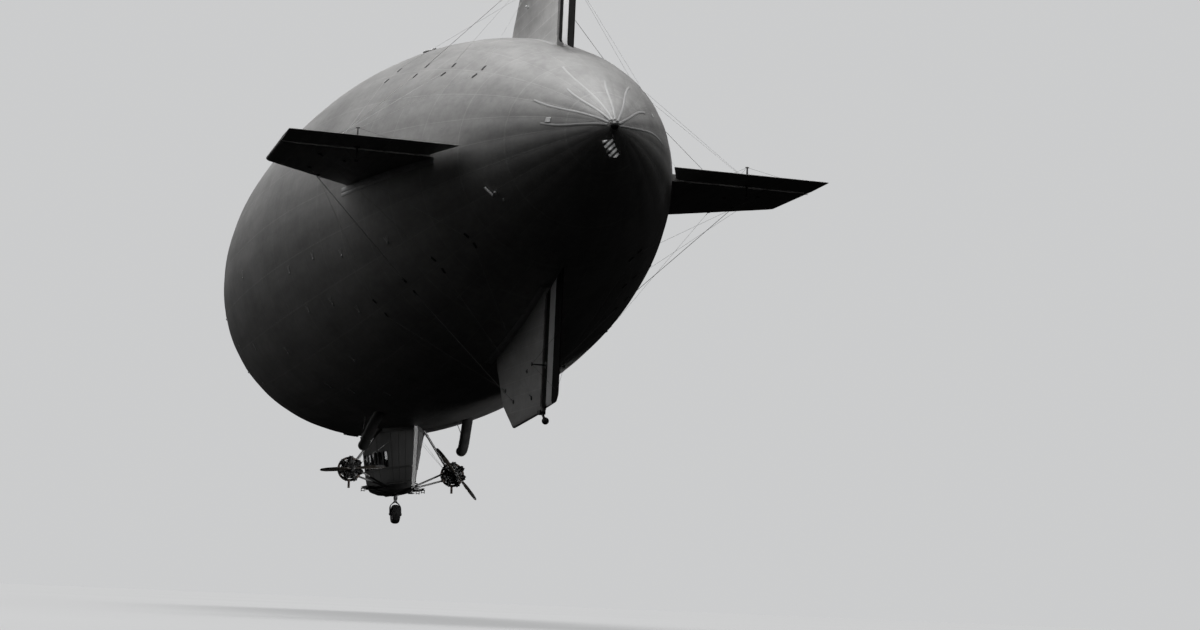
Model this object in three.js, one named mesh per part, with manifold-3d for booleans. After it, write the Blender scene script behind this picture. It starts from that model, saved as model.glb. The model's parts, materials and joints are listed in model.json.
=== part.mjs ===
// A two-engined, non-rigid patrol airship of the 1940s, as a model at half size.
// Frame: the origin is on the hull's axis at mid-length, +X is forward, +Y is port and +Z is up.
// Sizes are written in metres of the full-size ship; mm() turns them into millimetres of the model.
// Values whose name ends in Mm are millimetres of the model itself.

import * as THREE from "three";
import { mergeVertices } from "three/addons/utils/BufferGeometryUtils.js";
import Module from "manifold-3d";

const wasm = await Module();
wasm.setup();

// Driving dimensions

const SCALE = 0.5;
const mm = (metres) => metres * 1000 * SCALE;

const touchGapMm = 0.3;
const moveGapMm = 6;
const pinGapMm = 2;

const hull = {
  length: 44.96,
  radius: 6.07,
  widestShare: 0.423,
  bowPower: 2.17,
  sternPower: 2.342,
  sternRoundness: 0.689,
  wallMm: 10,
  sides: 36,
  bowSteps: 10,
  sternSteps: 11,
  bowStartDegrees: 4,
  sternEndDegrees: 85,
  endCrowding: 1.3,
};

const fin = { hinge: -17.0, thicknessMm: 100, edgeMm: 30, slopeWidth: 0.6 };
const control = { noseRadiusMm: 38, trailingEdgeMm: 7, hornHeight: 0.48, hornRadiusMm: 14, hornReach: 5.55 };

const car = {
  stern: 0.0,
  bow: 6.7,
  straightFrom: 3.0,
  straightTo: 5.65,
  halfWidth: 0.88,
  taperControl: { x: 1.9, halfWidth: 0.8 },
  sternHalfWidth: 0.06,
  wall: 0.05,
  sill: -7.42,
  roofUnderside: -6.16,
  roofTop: -6.12,
  floorTop: -7.93,
  floorThickness: 0.04,
};

// Half-width of the car's section at each height, from the keel up: its sides lean outwards to the roof
const carSection = [
  { z: -8.34, half: 0.1 },
  { z: -8.28, half: 0.28 },
  { z: -8.18, half: 0.42 },
  { z: -8.05, half: 0.505 },
  { z: -7.9, half: 0.56 },
  { z: -6.12, half: 0.88 },
  { z: -5.8, half: 0.88 },
];
const sideLean = { perMetre: 0.18, from: -6.12 };

const door = { aft: 3.2, forward: 4.0, bottom: -7.84, top: -6.36 };
const engine = {
  x: 2.07, y: 1.85, z: -7.53, cylinders: 7, headReach: 0.47, propellerX: 1.575, mountX: 2.39, mountHalf: 0.07,
};
const propeller = { radius: 1.16, hubRadius: 0.085, hubHalfLength: 0.08 };
const wheel = { x: 2.9, z: -9.0, radius: 0.34, halfWidth: 0.14, rimRadius: 0.19, swivelX: 3.02, sides: 24 };

// Materials

const finish = (colour, roughness, metalness) =>
  new THREE.MeshStandardMaterial({ color: colour, roughness, metalness, flatShading: true });

const materials = {
  dopedFabric: finish(0xa4a6a4, 0.5, 0.35),
  darkDope: finish(0x2b2c2e, 0.6, 0.1),
  carSkin: finish(0x8d9091, 0.4, 0.6),
  steelTube: finish(0x55585b, 0.45, 0.8),
  engineMetal: finish(0x2f3032, 0.5, 0.7),
  rubber: finish(0x191919, 0.85, 0.0),
  glass: finish(0xb8c4c8, 0.08, 0.0),
  seatFabric: finish(0x4b4a42, 0.9, 0.0),
  propellerWood: finish(0x3a2f26, 0.45, 0.0),
};

// Solids

// Turns a closed geometry into a solid, with its faces out and no face that has shrunk to a line.
function solid(geometry) {
  const bare = geometry.index ? geometry.toNonIndexed() : geometry.clone();
  for (const name of Object.keys(bare.attributes)) {
    if (name !== "position") bare.deleteAttribute(name);
  }
  const merged = mergeVertices(bare, 0.002);
  const points = merged.attributes.position;
  const triangles = [];
  let volume = 0;
  const [a, b, c] = [new THREE.Vector3(), new THREE.Vector3(), new THREE.Vector3()];
  for (let i = 0; i < merged.index.count; i += 3) {
    const corners = [merged.index.getX(i), merged.index.getX(i + 1), merged.index.getX(i + 2)];
    if (new Set(corners).size < 3) continue;
    triangles.push(corners);
    a.fromBufferAttribute(points, corners[0]);
    b.fromBufferAttribute(points, corners[1]);
    c.fromBufferAttribute(points, corners[2]);
    volume += a.dot(b.clone().cross(c));
  }
  if (volume < 0) triangles.forEach((corners) => corners.reverse());
  const mesh = new wasm.Mesh({
    numProp: 3,
    vertProperties: new Float32Array(points.array),
    triVerts: new Uint32Array(triangles.flat()),
  });
  return new wasm.Manifold(mesh);
}

const join = (pieces) => pieces.reduce((whole, piece) => whole.add(piece));

function geometryOf(body) {
  const mesh = body.getMesh();
  const geometry = new THREE.BufferGeometry();
  geometry.setAttribute("position", new THREE.BufferAttribute(new Float32Array(mesh.vertProperties), 3));
  geometry.setIndex(new THREE.BufferAttribute(new Uint32Array(mesh.triVerts), 1));
  return geometry;
}

// A block between two corners, in metres of the full-size ship.
function block(low, high) {
  const size = high.map((value, i) => mm(value - low[i]));
  const centre = high.map((value, i) => mm((value + low[i]) / 2));
  return solid(new THREE.BoxGeometry(...size).translate(...centre));
}

// A round rod from one point to another, in metres of the full-size ship.
function rod(start, end, radiusMm, sides = 8, endRadiusMm = radiusMm) {
  const from = new THREE.Vector3(...start.map(mm));
  const to = new THREE.Vector3(...end.map(mm));
  const along = to.clone().sub(from);
  const geometry = new THREE.CylinderGeometry(endRadiusMm, radiusMm, along.length(), sides);
  const heading = along.clone().normalize();
  geometry.applyQuaternion(new THREE.Quaternion().setFromUnitVectors(new THREE.Vector3(0, 1, 0), heading));
  const middle = from.add(to).multiplyScalar(0.5);
  return solid(geometry.translate(middle.x, middle.y, middle.z));
}

// A body turned about the X axis. Its profile is a list of [x, radius] in metres of the full-size ship.
function ball(centre, radiusMm) {
  return solid(new THREE.SphereGeometry(radiusMm, 12, 8).translate(...centre.map(mm)));
}

function turned(profile, sides, centre = [0, 0, 0]) {
  const points = profile.map(([x, radius]) => new THREE.Vector2(mm(radius), mm(x)));
  const geometry = new THREE.LatheGeometry(points, sides).rotateZ(-Math.PI / 2);
  return solid(geometry.translate(...centre.map(mm)));
}

const shapeOf = (points) => new THREE.Shape(points.map(([u, v]) => new THREE.Vector2(mm(u), mm(v))));

// A plan, as [x, y] in metres, made solid between two heights.
function planSolid(points, low, high) {
  const geometry = new THREE.ExtrudeGeometry(shapeOf(points), { depth: mm(high - low), bevelEnabled: false });
  return solid(geometry.translate(0, 0, mm(low)));
}

// A side view, as [x, z] in metres, made solid from starboard to port about the plane y.
function sideSolid(points, halfWidth, y = 0) {
  const depth = mm(2 * halfWidth);
  const geometry = new THREE.ExtrudeGeometry(shapeOf(points), { depth, bevelEnabled: false });
  return solid(geometry.rotateX(Math.PI / 2).translate(0, mm(y + halfWidth), 0));
}

// Skins a list of rings of equal count, in millimetres, and closes both ends.
function loft(rings) {
  const count = rings[0].length;
  const centreOf = (ring) =>
    ring.reduce((sum, point) => sum.add(point), new THREE.Vector3()).divideScalar(count);
  const faces = [];
  rings.slice(1).forEach((ring, i) => {
    const last = rings[i];
    for (let k = 0; k < count; k += 1) {
      const next = (k + 1) % count;
      faces.push(last[k], last[next], ring[next], last[k], ring[next], ring[k]);
    }
  });
  const first = rings[0];
  const final = rings[rings.length - 1];
  const firstCentre = centreOf(first);
  const finalCentre = centreOf(final);
  for (let k = 0; k < count; k += 1) {
    const next = (k + 1) % count;
    faces.push(firstCentre, first[next], first[k], finalCentre, final[k], final[next]);
  }
  return solid(new THREE.BufferGeometry().setFromPoints(faces));
}

// The whole airship

const airship = new THREE.Group();
airship.name = "airship";

function addNode(name, material, body, parent = airship) {
  const mesh = new THREE.Mesh(geometryOf(body), material);
  mesh.name = name;
  parent.add(mesh);
  return mesh;
}

// The port and starboard sides, with how far each propeller stands turned, in degrees
const sides = [
  { name: "port", sign: 1, propellerTurn: 84 },
  { name: "starboard", sign: -1, propellerTurn: -41 },
];

// Hull

// Radius of the hull at a place along the ship.
function hullRadius(x) {
  const station = hull.length / 2 - x;
  const widest = hull.length * hull.widestShare;
  if (station < widest) {
    const share = (widest - station) / widest;
    return hull.radius * Math.sqrt(1 - share ** hull.bowPower);
  }
  const share = (station - widest) / (hull.length - widest);
  return hull.radius * (1 - share ** hull.sternPower) ** hull.sternRoundness;
}

// Places along the ship of the hull's sections, closer together at both ends, from bow to stern.
function hullStations() {
  const widest = hull.length * hull.widestShare;
  const aft = hull.length - widest;
  const radians = Math.PI / 180;
  const stations = [];
  for (let i = 0; i < hull.bowSteps; i += 1) {
    const share = (i / hull.bowSteps) ** hull.endCrowding;
    const angle = (hull.bowStartDegrees + (90 - hull.bowStartDegrees) * share) * radians;
    stations.push(hull.length / 2 - widest * (1 - Math.cos(angle)));
  }
  for (let i = 0; i <= hull.sternSteps; i += 1) {
    const share = 1 - (1 - i / hull.sternSteps) ** hull.endCrowding;
    const angle = hull.sternEndDegrees * share * radians;
    stations.push(hull.length / 2 - widest - aft * Math.sin(angle));
  }
  return stations;
}

// The hull's profile as [x, radius], moved out along its normal.
function hullProfile(outMm, stations = hullStations()) {
  const out = outMm / 1000 / SCALE;
  const step = 0.002;
  return stations.map((x) => {
    const slope = (hullRadius(x + step) - hullRadius(x - step)) / (2 * step);
    const length = Math.hypot(1, slope);
    return [x - (slope * out) / length, hullRadius(x) + out / length];
  });
}

// The hull filled in, for what is fitted against it.
function hullBlank(outMm) {
  const profile = hullProfile(outMm);
  const bow = [profile[0][0], 0];
  const stern = [profile[profile.length - 1][0], 0];
  return turned([bow, ...profile, stern], hull.sides);
}

const hullCut = hullBlank(touchGapMm);

function envelope() {
  const outer = hullProfile(0);
  const inner = hullProfile(-hull.wallMm);
  return turned([...outer, ...inner.reverse(), outer[0]], hull.sides);
}

// The cap on the bow, its mooring spindle and the battens that stiffen the fabric behind it.
function noseCone() {
  const capStations = hullStations().slice(0, 2);
  const inner = hullProfile(touchGapMm, capStations);
  const outer = hullProfile(22, capStations);
  const tipOut = [outer[0][0], 0];
  const cap = turned([[inner[0][0], 0], ...inner, ...outer.reverse(), tipOut], hull.sides);
  const battenStations = hullStations().slice(0, 5);
  const under = hullProfile(touchGapMm, battenStations);
  const over = hullProfile(16, battenStations).reverse();
  const battenHalfWidth = 0.035;
  const battens = [];
  for (let i = 0; i < 12; i += 1) {
    const batten = sideSolid([...under, ...over], battenHalfWidth);
    battens.push(batten.rotate([i * 30, 0, 0]));
  }
  const tip = hull.length / 2;
  const spindle = turned([[tip - 0.03, 0], [tip - 0.03, 0.13], [tip + 0.1, 0.11], [tip + 0.14, 0.06],
    [tip + 0.3, 0.06], [tip + 0.3, 0]], 12);
  return join([cap, spindle, ...battens]);
}

// The dark cap that closes the fabric at the stern, with its lamp.
function sternCone() {
  const [fore, aft] = hullProfile(touchGapMm, hullStations().slice(-2));
  const end = -hull.length / 2;
  const outside = [
    fore, [fore[0] - 0.03, fore[1] + 0.02], [end + 0.02, 0.16],
    [end - 0.06, 0.12], [end - 0.12, 0.06], [end - 0.12, 0],
  ];
  return turned([[aft[0], 0], aft, ...outside], hull.sides);
}

addNode("envelope", materials.dopedFabric, envelope());
addNode("nose_cone", materials.dopedFabric, noseCone());
addNode("stern_cone", materials.darkDope, sternCone());

// A bent staff under the stern cone, with a small pennant along its lower leg that faces aft
{
  const staffTop = [-22.36, 0, -0.1];
  const staffBend = [-22.54, 0.04, -0.3];
  const staffFoot = [-22.54, -0.18, -0.76];
  const stern = hullBlank(touchGapMm).add(sternCone());
  const gap = sternCone().translate([0, 0, -touchGapMm]);
  const lowerLeg = (radiusMm) => rod(staffBend, staffFoot, radiusMm, 8);
  const elbow = rod([-22.54, 0.044, -0.29], [-22.54, 0.028, -0.325], 9, 8);
  const staff = join([rod(staffTop, staffBend, 8, 8), elbow, lowerLeg(8)]);
  addNode("pennant_staff", materials.steelTube, staff.subtract(stern).subtract(gap));
  const corners = [
    [-22.54, 0.02, -0.34], [-22.62, 0.36, -0.44], [-22.6, 0.14, -0.82], [-22.54, -0.17, -0.74],
  ];
  const face = (forward) => corners.map(([x, y, z]) => new THREE.Vector3(mm(x) + forward, mm(y), mm(z)));
  const cloth = loft([face(3), face(-3)]);
  addNode("stern_pennant", materials.dopedFabric, cloth.subtract(lowerLeg(8 + touchGapMm)).subtract(elbow));
}

// Fins: outlines in the plane of the fin, as [x, distance from the hull's axis]

const levelFinOutline = [[-11.3, 4.3], [-11.47, 4.9], [-14.0, 7.55], [-18.4, 7.55], [-18.4, 2.2]];
const uprightFinOutline = [
  [-11.2, 4.3], [-11.46, 5.04], [-12.42, 6.31], [-13.69, 7.03], [-18.4, 6.67], [-18.4, 2.2],
];
const levelControlOutline = [[-16.8, 3.56], [-18.3, 3.0], [-18.3, 7.55], [-16.8, 7.55]];
const uprightControlOutline = [[-16.8, 3.56], [-18.3, 3.0], [-18.32, 6.42], [-18.1, 6.62], [-16.8, 6.72]];

const level = { outline: levelFinOutline, control: levelControlOutline };
const upright = { outline: uprightFinOutline, control: uprightControlOutline };

// Each fin: its turn about the hull's axis from the level port one, its control surface and its outlines
const finPlaces = [
  { name: "port", turn: 0, controlName: "elevator_port", ...level },
  { name: "upper", turn: 90, controlName: "rudder_upper", ...upright },
  { name: "starboard", turn: 180, controlName: "elevator_starboard", ...level },
  { name: "lower", turn: 270, controlName: "rudder_lower", ...upright },
];

// A plate with sloping edges: each outline point of its flat faces is drawn in towards the root.
function finPlate(outline) {
  const rootCentre = new THREE.Vector2(-15.5, 3.5);
  const ring = (drawnIn, heightMm) =>
    outline.map(([x, reach]) => {
      const point = new THREE.Vector2(x, reach);
      const inward = rootCentre.clone().sub(point).normalize().multiplyScalar(drawnIn);
      point.add(inward);
      return new THREE.Vector3(mm(point.x), mm(point.y), heightMm);
    });
  const { thicknessMm, edgeMm, slopeWidth } = fin;
  const plate = loft([
    ring(slopeWidth, -thicknessMm / 2),
    ring(0, -edgeMm / 2),
    ring(0, edgeMm / 2),
    ring(slopeWidth, thicknessMm / 2),
  ]);
  const hingeFace = fin.hinge + (control.noseRadiusMm + moveGapMm) / 1000 / SCALE;
  const aftOfHinge = block([-19, 0, -1], [hingeFace, 9, 1]);
  return plate.subtract(aftOfHinge);
}

// A rudder or elevator: a wedge with a round nose about its hinge, and its two horns.
function controlSurface(outline) {
  const nose = control.noseRadiusMm / 1000 / SCALE;
  const edge = control.trailingEdgeMm / 1000 / SCALE;
  const section = [];
  for (let degrees = -90; degrees <= 90; degrees += 30) {
    const angle = (degrees * Math.PI) / 180;
    section.push([fin.hinge + nose * Math.cos(angle), nose * Math.sin(angle)]);
  }
  section.push([-18.4, edge], [-18.4, -edge]);
  const wedge = sideSolid(section, 5, 5);
  const plan = planSolid(outline, -1, 1);
  const hornX = fin.hinge - 0.12;
  const { hornReach, hornHeight, hornRadiusMm } = control;
  const horn = rod([hornX, hornReach, -hornHeight], [hornX, hornReach, hornHeight], hornRadiusMm, 6);
  return wedge.intersect(plan).add(horn);
}

for (const place of finPlaces) {
  const body = finPlate(place.outline).rotate([place.turn, 0, 0]).subtract(hullCut);
  addNode(`fin_${place.name}`, materials.dopedFabric, body);
}
for (const place of finPlaces) {
  const surface = controlSurface(place.control).rotate([place.turn, 0, 0]);
  addNode(place.controlName, materials.dopedFabric, surface);
}

// Wire stays that hold each fin square to the hull

for (const place of finPlaces) {
  for (const lean of [-1, 1]) {
    const x = -13.3;
    const hullAngle = (42 * Math.PI) / 180;
    const foot = hullRadius(x) + 0.012;
    const start = [x - 0.6, 6.3, lean * 0.115];
    const end = [x, foot * Math.cos(hullAngle), lean * foot * Math.sin(hullAngle)];
    const side = lean > 0 ? "a" : "b";
    const stay = rod(start, end, 4, 6).rotate([place.turn, 0, 0]);
    addNode(`stay_${place.name}_${side}`, materials.steelTube, stay);
  }
}

// Tail bumper under the lower fin
{
  const stem = rod([-16.6, 0, -6.74], [-17.1, 0, -7.06], 16, 8);
  const lowerFin = finPlate(uprightFinOutline).rotate([270, 0, 0]);
  const foot = block([-16.78, -0.09, -6.86], [-16.5, 0.09, -6.7]);
  const cut = lowerFin.add(lowerFin.translate([0, 0, -touchGapMm]));
  const bumper = join([foot, stem, ball([-17.1, 0, -7.06], mm(0.1))]);
  addNode("tail_bumper", materials.steelTube, bumper.subtract(cut));
}

// Car

// Plan of the car where its section has some half-width, drawn in by some distance from its outer face.
function carPlan(inset, sectionHalf = car.halfWidth) {
  const half = sectionHalf - inset;
  const share = sectionHalf / car.halfWidth;
  const sternX = car.stern + (inset > 0 ? inset * 5 : inset);
  const sternHalf = inset > 0 ? 0.05 * share : car.sternHalfWidth - inset;
  const taper = new THREE.QuadraticBezierCurve(
    new THREE.Vector2(sternX, sternHalf),
    new THREE.Vector2(car.taperControl.x, car.taperControl.halfWidth * share - inset),
    new THREE.Vector2(car.straightFrom, half),
  );
  const port = taper.getPoints(7).map((point) => [point.x, point.y]);
  const bowLength = car.bow - inset - car.straightTo;
  for (let degrees = 90; degrees > 0; degrees -= 18) {
    const angle = (degrees * Math.PI) / 180;
    port.push([car.straightTo + bowLength * Math.cos(angle), half * Math.sin(angle)]);
  }
  const starboard = port.map(([x, y]) => [x, -y]).reverse();
  return [...port, [car.bow - inset, 0], ...starboard];
}

// Side view of the car: [x, z] along its bottom, then up the bow.
function carSide(inset) {
  const bottom = [
    [-0.2, -8.11], [0.23, -8.16], [1.5, -8.26], [3.0, -8.3],
    [4.9, -8.29], [5.8, -8.12], [6.4, -7.78], [6.66, -7.36],
  ];
  const raised = bottom.map(([x, z]) => [x - (x > 5.5 ? inset : 0), z + inset]);
  return [...raised, [6.76 - inset, -7.0], [6.62 - inset, -6.0], [-0.2, -6.0]];
}

// The car filled in between two heights, drawn in by some distance.
function carBlank(inset, low, high) {
  const rings = carSection.map(({ z, half }) =>
    carPlan(inset, Math.max(half, inset + 0.02)).map(([x, y]) => new THREE.Vector3(mm(x), mm(y), mm(z))),
  );
  const between = block([-1, -2, low], [8, 2, high]);
  return loft(rings).intersect(sideSolid(carSide(inset), 1)).intersect(between);
}

const touchGap = touchGapMm / 1000 / SCALE;

// Leans a solid that stands on the plane y = 0, with z from the roof's edge, against the starboard side.
function onStarboardSide(body) {
  const degrees = (Math.atan(sideLean.perMetre) * 180) / Math.PI;
  return body.rotate([degrees, 0, 0]).translate([0, -mm(car.halfWidth), mm(sideLean.from)]);
}

// A height as a distance from the roof's edge along the leaning side.
const alongSide = (z) => (z - sideLean.from) * Math.hypot(1, sideLean.perMetre);

const doorway = onStarboardSide(
  block([door.aft, -0.3, alongSide(door.bottom)], [door.forward, 0.16, alongSide(door.top)]),
);

// Windows: centre along the ship, width, and the sides that they are on; the door carries its own
const sideWindows = [
  { x: 2.15, width: 0.38, on: [1, -1] },
  { x: 2.68, width: 0.38, on: [1, -1] },
  { x: 3.26, width: 0.42, on: [1] },
  { x: 3.92, width: 0.5, on: [1] },
  { x: 4.58, width: 0.5, on: [1, -1] },
  { x: 5.24, width: 0.5, on: [1, -1] },
];
const windowSill = -7.4;
const windowHead = -6.84;
const bowPane = { sill: -6.98, head: -6.42, halfWidth: 0.2, degrees: [-52, -17, 17, 52] };

function windowCutters() {
  const cutters = [];
  for (const pane of sideWindows) {
    for (const sign of pane.on) {
      const [low, high] = [0.3 * sign, 1.1 * sign].sort((a, b) => a - b);
      const [aft, forward] = [pane.x - pane.width / 2, pane.x + pane.width / 2];
      cutters.push(block([aft, low, windowSill], [forward, high, windowHead]));
    }
  }
  for (const degrees of bowPane.degrees) {
    const pane = block([0.45, -bowPane.halfWidth, bowPane.sill], [2.0, bowPane.halfWidth, bowPane.head]);
    cutters.push(pane.rotate([0, 0, degrees]).translate([mm(car.straightTo - 0.3), 0, 0]));
  }
  return join(cutters);
}

const windows = windowCutters();
const carFilled = carBlank(-touchGap, -9, car.roofTop + 2 * touchGap);
const fairingInset = 0.02;
const fairingFilled = planSolid(carPlan(fairingInset - touchGap), car.roofTop, -5.8);

// Lower half of the car, from the keel up to the sill
{
  const inside = carBlank(car.wall, -9, -6);
  const tub = carBlank(0, -9, car.sill).subtract(inside).subtract(doorway);
  addNode("car_tub", materials.carSkin, tub);
  const cabin = carBlank(0, car.sill + touchGap, car.roofUnderside - touchGap).subtract(inside);
  addNode("car_cabin", materials.carSkin, cabin.subtract(doorway).subtract(windows));
  addNode("car_roof", materials.carSkin, carBlank(0, car.roofUnderside, car.roofTop));
  const floorInset = car.wall + touchGap;
  const planks = carBlank(floorInset, car.floorTop - car.floorThickness, car.floorTop);
  addNode("car_floor", materials.carSkin, planks);
}

// Fairing that fills the space between the flat roof and the round hull
{
  const fairing = planSolid(carPlan(fairingInset), car.roofTop + touchGap, -5.9).subtract(hullCut);
  addNode("car_fairing", materials.carSkin, fairing);
}

// Glazing: one clear band behind all the window openings
{
  const outer = carBlank(car.wall + touchGap, windowSill - 0.06, bowPane.head + 0.06);
  const inner = carBlank(car.wall + touchGap + 0.016, -9, -6);
  addNode("car_glazing", materials.glass, outer.subtract(inner).subtract(doorway));
}

// Door, in the flat of the starboard side, hinged along its forward edge
{
  const clear = moveGapMm / 1000 / SCALE;
  const leaf = block(
    [door.aft + clear, 0, alongSide(door.bottom) + clear],
    [door.forward - clear, car.wall, alongSide(door.top) - clear],
  );
  const pane = block([3.36, -0.1, alongSide(windowSill)], [3.84, 0.2, alongSide(windowHead)]);
  const handleHeight = alongSide(windowSill - 0.1);
  const handleReach = -0.05;
  const handle = join([
    rod([3.3, 0, handleHeight], [3.3, handleReach, handleHeight], 7, 6),
    rod([3.27, handleReach, handleHeight], [3.42, handleReach, handleHeight], 7, 6),
  ]);
  addNode("car_door", materials.carSkin, onStarboardSide(leaf.subtract(pane).add(handle)));
}

// Seats, bench and instrument panel

for (const side of sides) {
  const y = 0.29 * side.sign;
  const floor = car.floorTop + touchGap;
  const seat = join([
    block([5.0, y - 0.21, -7.55], [5.48, y + 0.21, -7.46]),
    block([4.94, y - 0.21, -7.55], [5.03, y + 0.21, -7.0]),
    block([5.1, y - 0.1, floor], [5.35, y + 0.1, -7.5]),
  ]);
  addNode(`pilot_seat_${side.name}`, materials.seatFabric, seat);
}
{
  const floor = car.floorTop + touchGap;
  const bench = join([
    block([2.42, -0.42, floor], [2.84, 0.42, -7.52]),
    block([2.38, -0.42, -7.57], [2.47, 0.42, -7.1]),
  ]);
  addNode("cabin_bench", materials.seatFabric, bench);
  const panel = join([
    block([5.86, -0.42, -7.4], [5.96, 0.42, -6.96]),
    block([5.86, -0.16, floor], [5.93, 0.16, -7.35]),
  ]);
  addNode("instrument_panel", materials.engineMetal, panel);
}

// Power plants on their outriggers

// The upper strut meets the roof's edge; the two lower ones meet each other at the car's lower corner.
function outrigger(sign) {
  const { mountX: x, mountHalf: half, y, z } = engine;
  const disc = [[x - half, 0], [x - half, 0.27], [x + half, 0.27], [x + half, 0]];
  const plate = turned(disc, 16, [0, sign * y, z]);
  const upper = rod([x, sign * 0.72, -5.93], [x, sign * (y - 0.1), z + 0.12], 22, 8);
  const cornerY = sign * 0.44;
  const lowerForward = rod([x + 0.12, cornerY, -8.06], [x + 0.02, sign * (y - 0.2), z + 0.08], 17, 8);
  const lowerAft = rod([x - 0.12, cornerY, -8.1], [x - 0.02, sign * (y - 0.15), z - 0.17], 17, 8);
  const frame = join([plate, upper, lowerForward, lowerAft]);
  return frame.subtract(carFilled).subtract(fairingFilled).subtract(hullCut);
}

// One upright cylinder with its cooling fins, widest at the head; columns: height above the shaft, radius.
function finnedCylinder() {
  const core = 0.058;
  const profile = [[0.16, 0], [0.16, core]];
  const fins = [
    { at: 0.225, radius: 0.088 },
    { at: 0.265, radius: 0.09 },
    { at: 0.305, radius: 0.092 },
    { at: 0.35, radius: 0.102 },
    { at: 0.395, radius: 0.1 },
  ];
  const finHalf = 0.011;
  for (const { at, radius } of fins) {
    profile.push([at - finHalf, core], [at - finHalf, radius], [at + finHalf, radius], [at + finHalf, core]);
  }
  profile.push([0.43, core], [0.44, 0.08], [engine.headReach, 0.066], [engine.headReach, 0]);
  return turned(profile, 9).rotate([0, -90, 0]);
}

// A crankcase with its ring of cylinders and the shaft that carries the propeller.
function radialEngine(centre) {
  const back = engine.mountX - engine.mountHalf - touchGap - engine.x;
  const crankcase = turned([
    [back, 0], [back, 0.2], [-0.16, 0.2], [-0.22, 0.16],
    [-0.34, 0.1], [-0.36, 0.03], [-0.62, 0.03], [-0.62, 0],
  ], 14);
  const cylinder = finnedCylinder();
  const pieces = [crankcase];
  for (let i = 0; i < engine.cylinders; i += 1) {
    pieces.push(cylinder.rotate([(i * 360) / engine.cylinders, 0, 0]));
  }
  return join(pieces).translate(centre.map(mm));
}

// The exhaust ring ahead of the cylinders, its branches and the pipe that points down.
function exhaust(centre) {
  const cylinderSide = 0.102;
  const ringX = 0.17;
  const ringRadius = 0.39;
  const tube = 0.045;
  const profile = [];
  const tubeSides = 5;
  for (let i = 0; i <= tubeSides; i += 1) {
    const angle = (i * 2 * Math.PI) / tubeSides;
    profile.push([ringX + tube * Math.cos(angle), ringRadius + tube * Math.sin(angle)]);
  }
  const pieces = [turned(profile, 14)];
  for (let i = 0; i < engine.cylinders; i += 1) {
    const branch = rod([cylinderSide + touchGap, 0, ringRadius], [ringX, 0, ringRadius], 11, 6);
    pieces.push(branch.rotate([(i * 360) / engine.cylinders, 0, 0]));
  }
  pieces.push(rod([ringX, 0, -ringRadius], [ringX - 0.02, 0, -ringRadius - 0.27], 20, 8));
  return join(pieces).translate(centre.map(mm));
}

// A streamlined shell over the tank and accessories ahead of the engine.
function nacelle(centre) {
  const back = engine.mountX + engine.mountHalf + touchGap - engine.x;
  return turned([
    [back, 0], [back, 0.24], [back + 0.22, 0.25], [back + 0.45, 0.22],
    [back + 0.63, 0.14], [back + 0.7, 0.05], [back + 0.7, 0],
  ], 16, centre);
}

// Two blades and a hub about the shaft; columns: share of the radius, chord, thickness, pitch in degrees.
function propellerBody() {
  const stations = [
    [0.05, 0.1, 0.08, 60],
    [0.25, 0.14, 0.05, 48],
    [0.5, 0.17, 0.034, 33],
    [0.8, 0.14, 0.022, 22],
    [1.0, 0.05, 0.012, 17],
  ];
  const bladeSides = 8;
  const rings = stations.map(([share, chord, thickness, pitch]) => {
    const pitchAngle = (pitch * Math.PI) / 180;
    const ring = [];
    for (let i = 0; i < bladeSides; i += 1) {
      const angle = (i * 2 * Math.PI) / bladeSides;
      const along = (mm(chord) / 2) * Math.cos(angle);
      const across = (mm(thickness) / 2) * Math.sin(angle);
      const x = along * Math.sin(pitchAngle) + across * Math.cos(pitchAngle);
      const y = along * Math.cos(pitchAngle) - across * Math.sin(pitchAngle);
      ring.push(new THREE.Vector3(x, y, mm(propeller.radius) * share));
    }
    return ring;
  });
  const blade = loft(rings);
  const { hubRadius, hubHalfLength } = propeller;
  const hub = turned([
    [-hubHalfLength, 0], [-hubHalfLength, hubRadius], [hubHalfLength, hubRadius], [hubHalfLength, 0],
  ], 14);
  const bore = rod([-0.3, 0, 0], [0.3, 0, 0], mm(0.03) + pinGapMm, 14);
  return join([hub, blade, blade.rotate([180, 0, 0])]).subtract(bore);
}

for (const side of sides) {
  const centre = [engine.x, side.sign * engine.y, engine.z];
  addNode(`outrigger_${side.name}`, materials.steelTube, outrigger(side.sign));
  addNode(`nacelle_${side.name}`, materials.carSkin, nacelle(centre));
  addNode(`engine_${side.name}`, materials.engineMetal, radialEngine(centre));
  addNode(`exhaust_${side.name}`, materials.engineMetal, exhaust(centre));
  const blades = propellerBody().rotate([side.propellerTurn, 0, 0]);
  const spinning = addNode(`propeller_${side.name}`, materials.propellerWood, blades);
  spinning.position.set(mm(engine.propellerX), mm(side.sign * engine.y), mm(engine.z));
}

// Air scoops: bent pipes that lead the propellers' wash up into the hull

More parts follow.
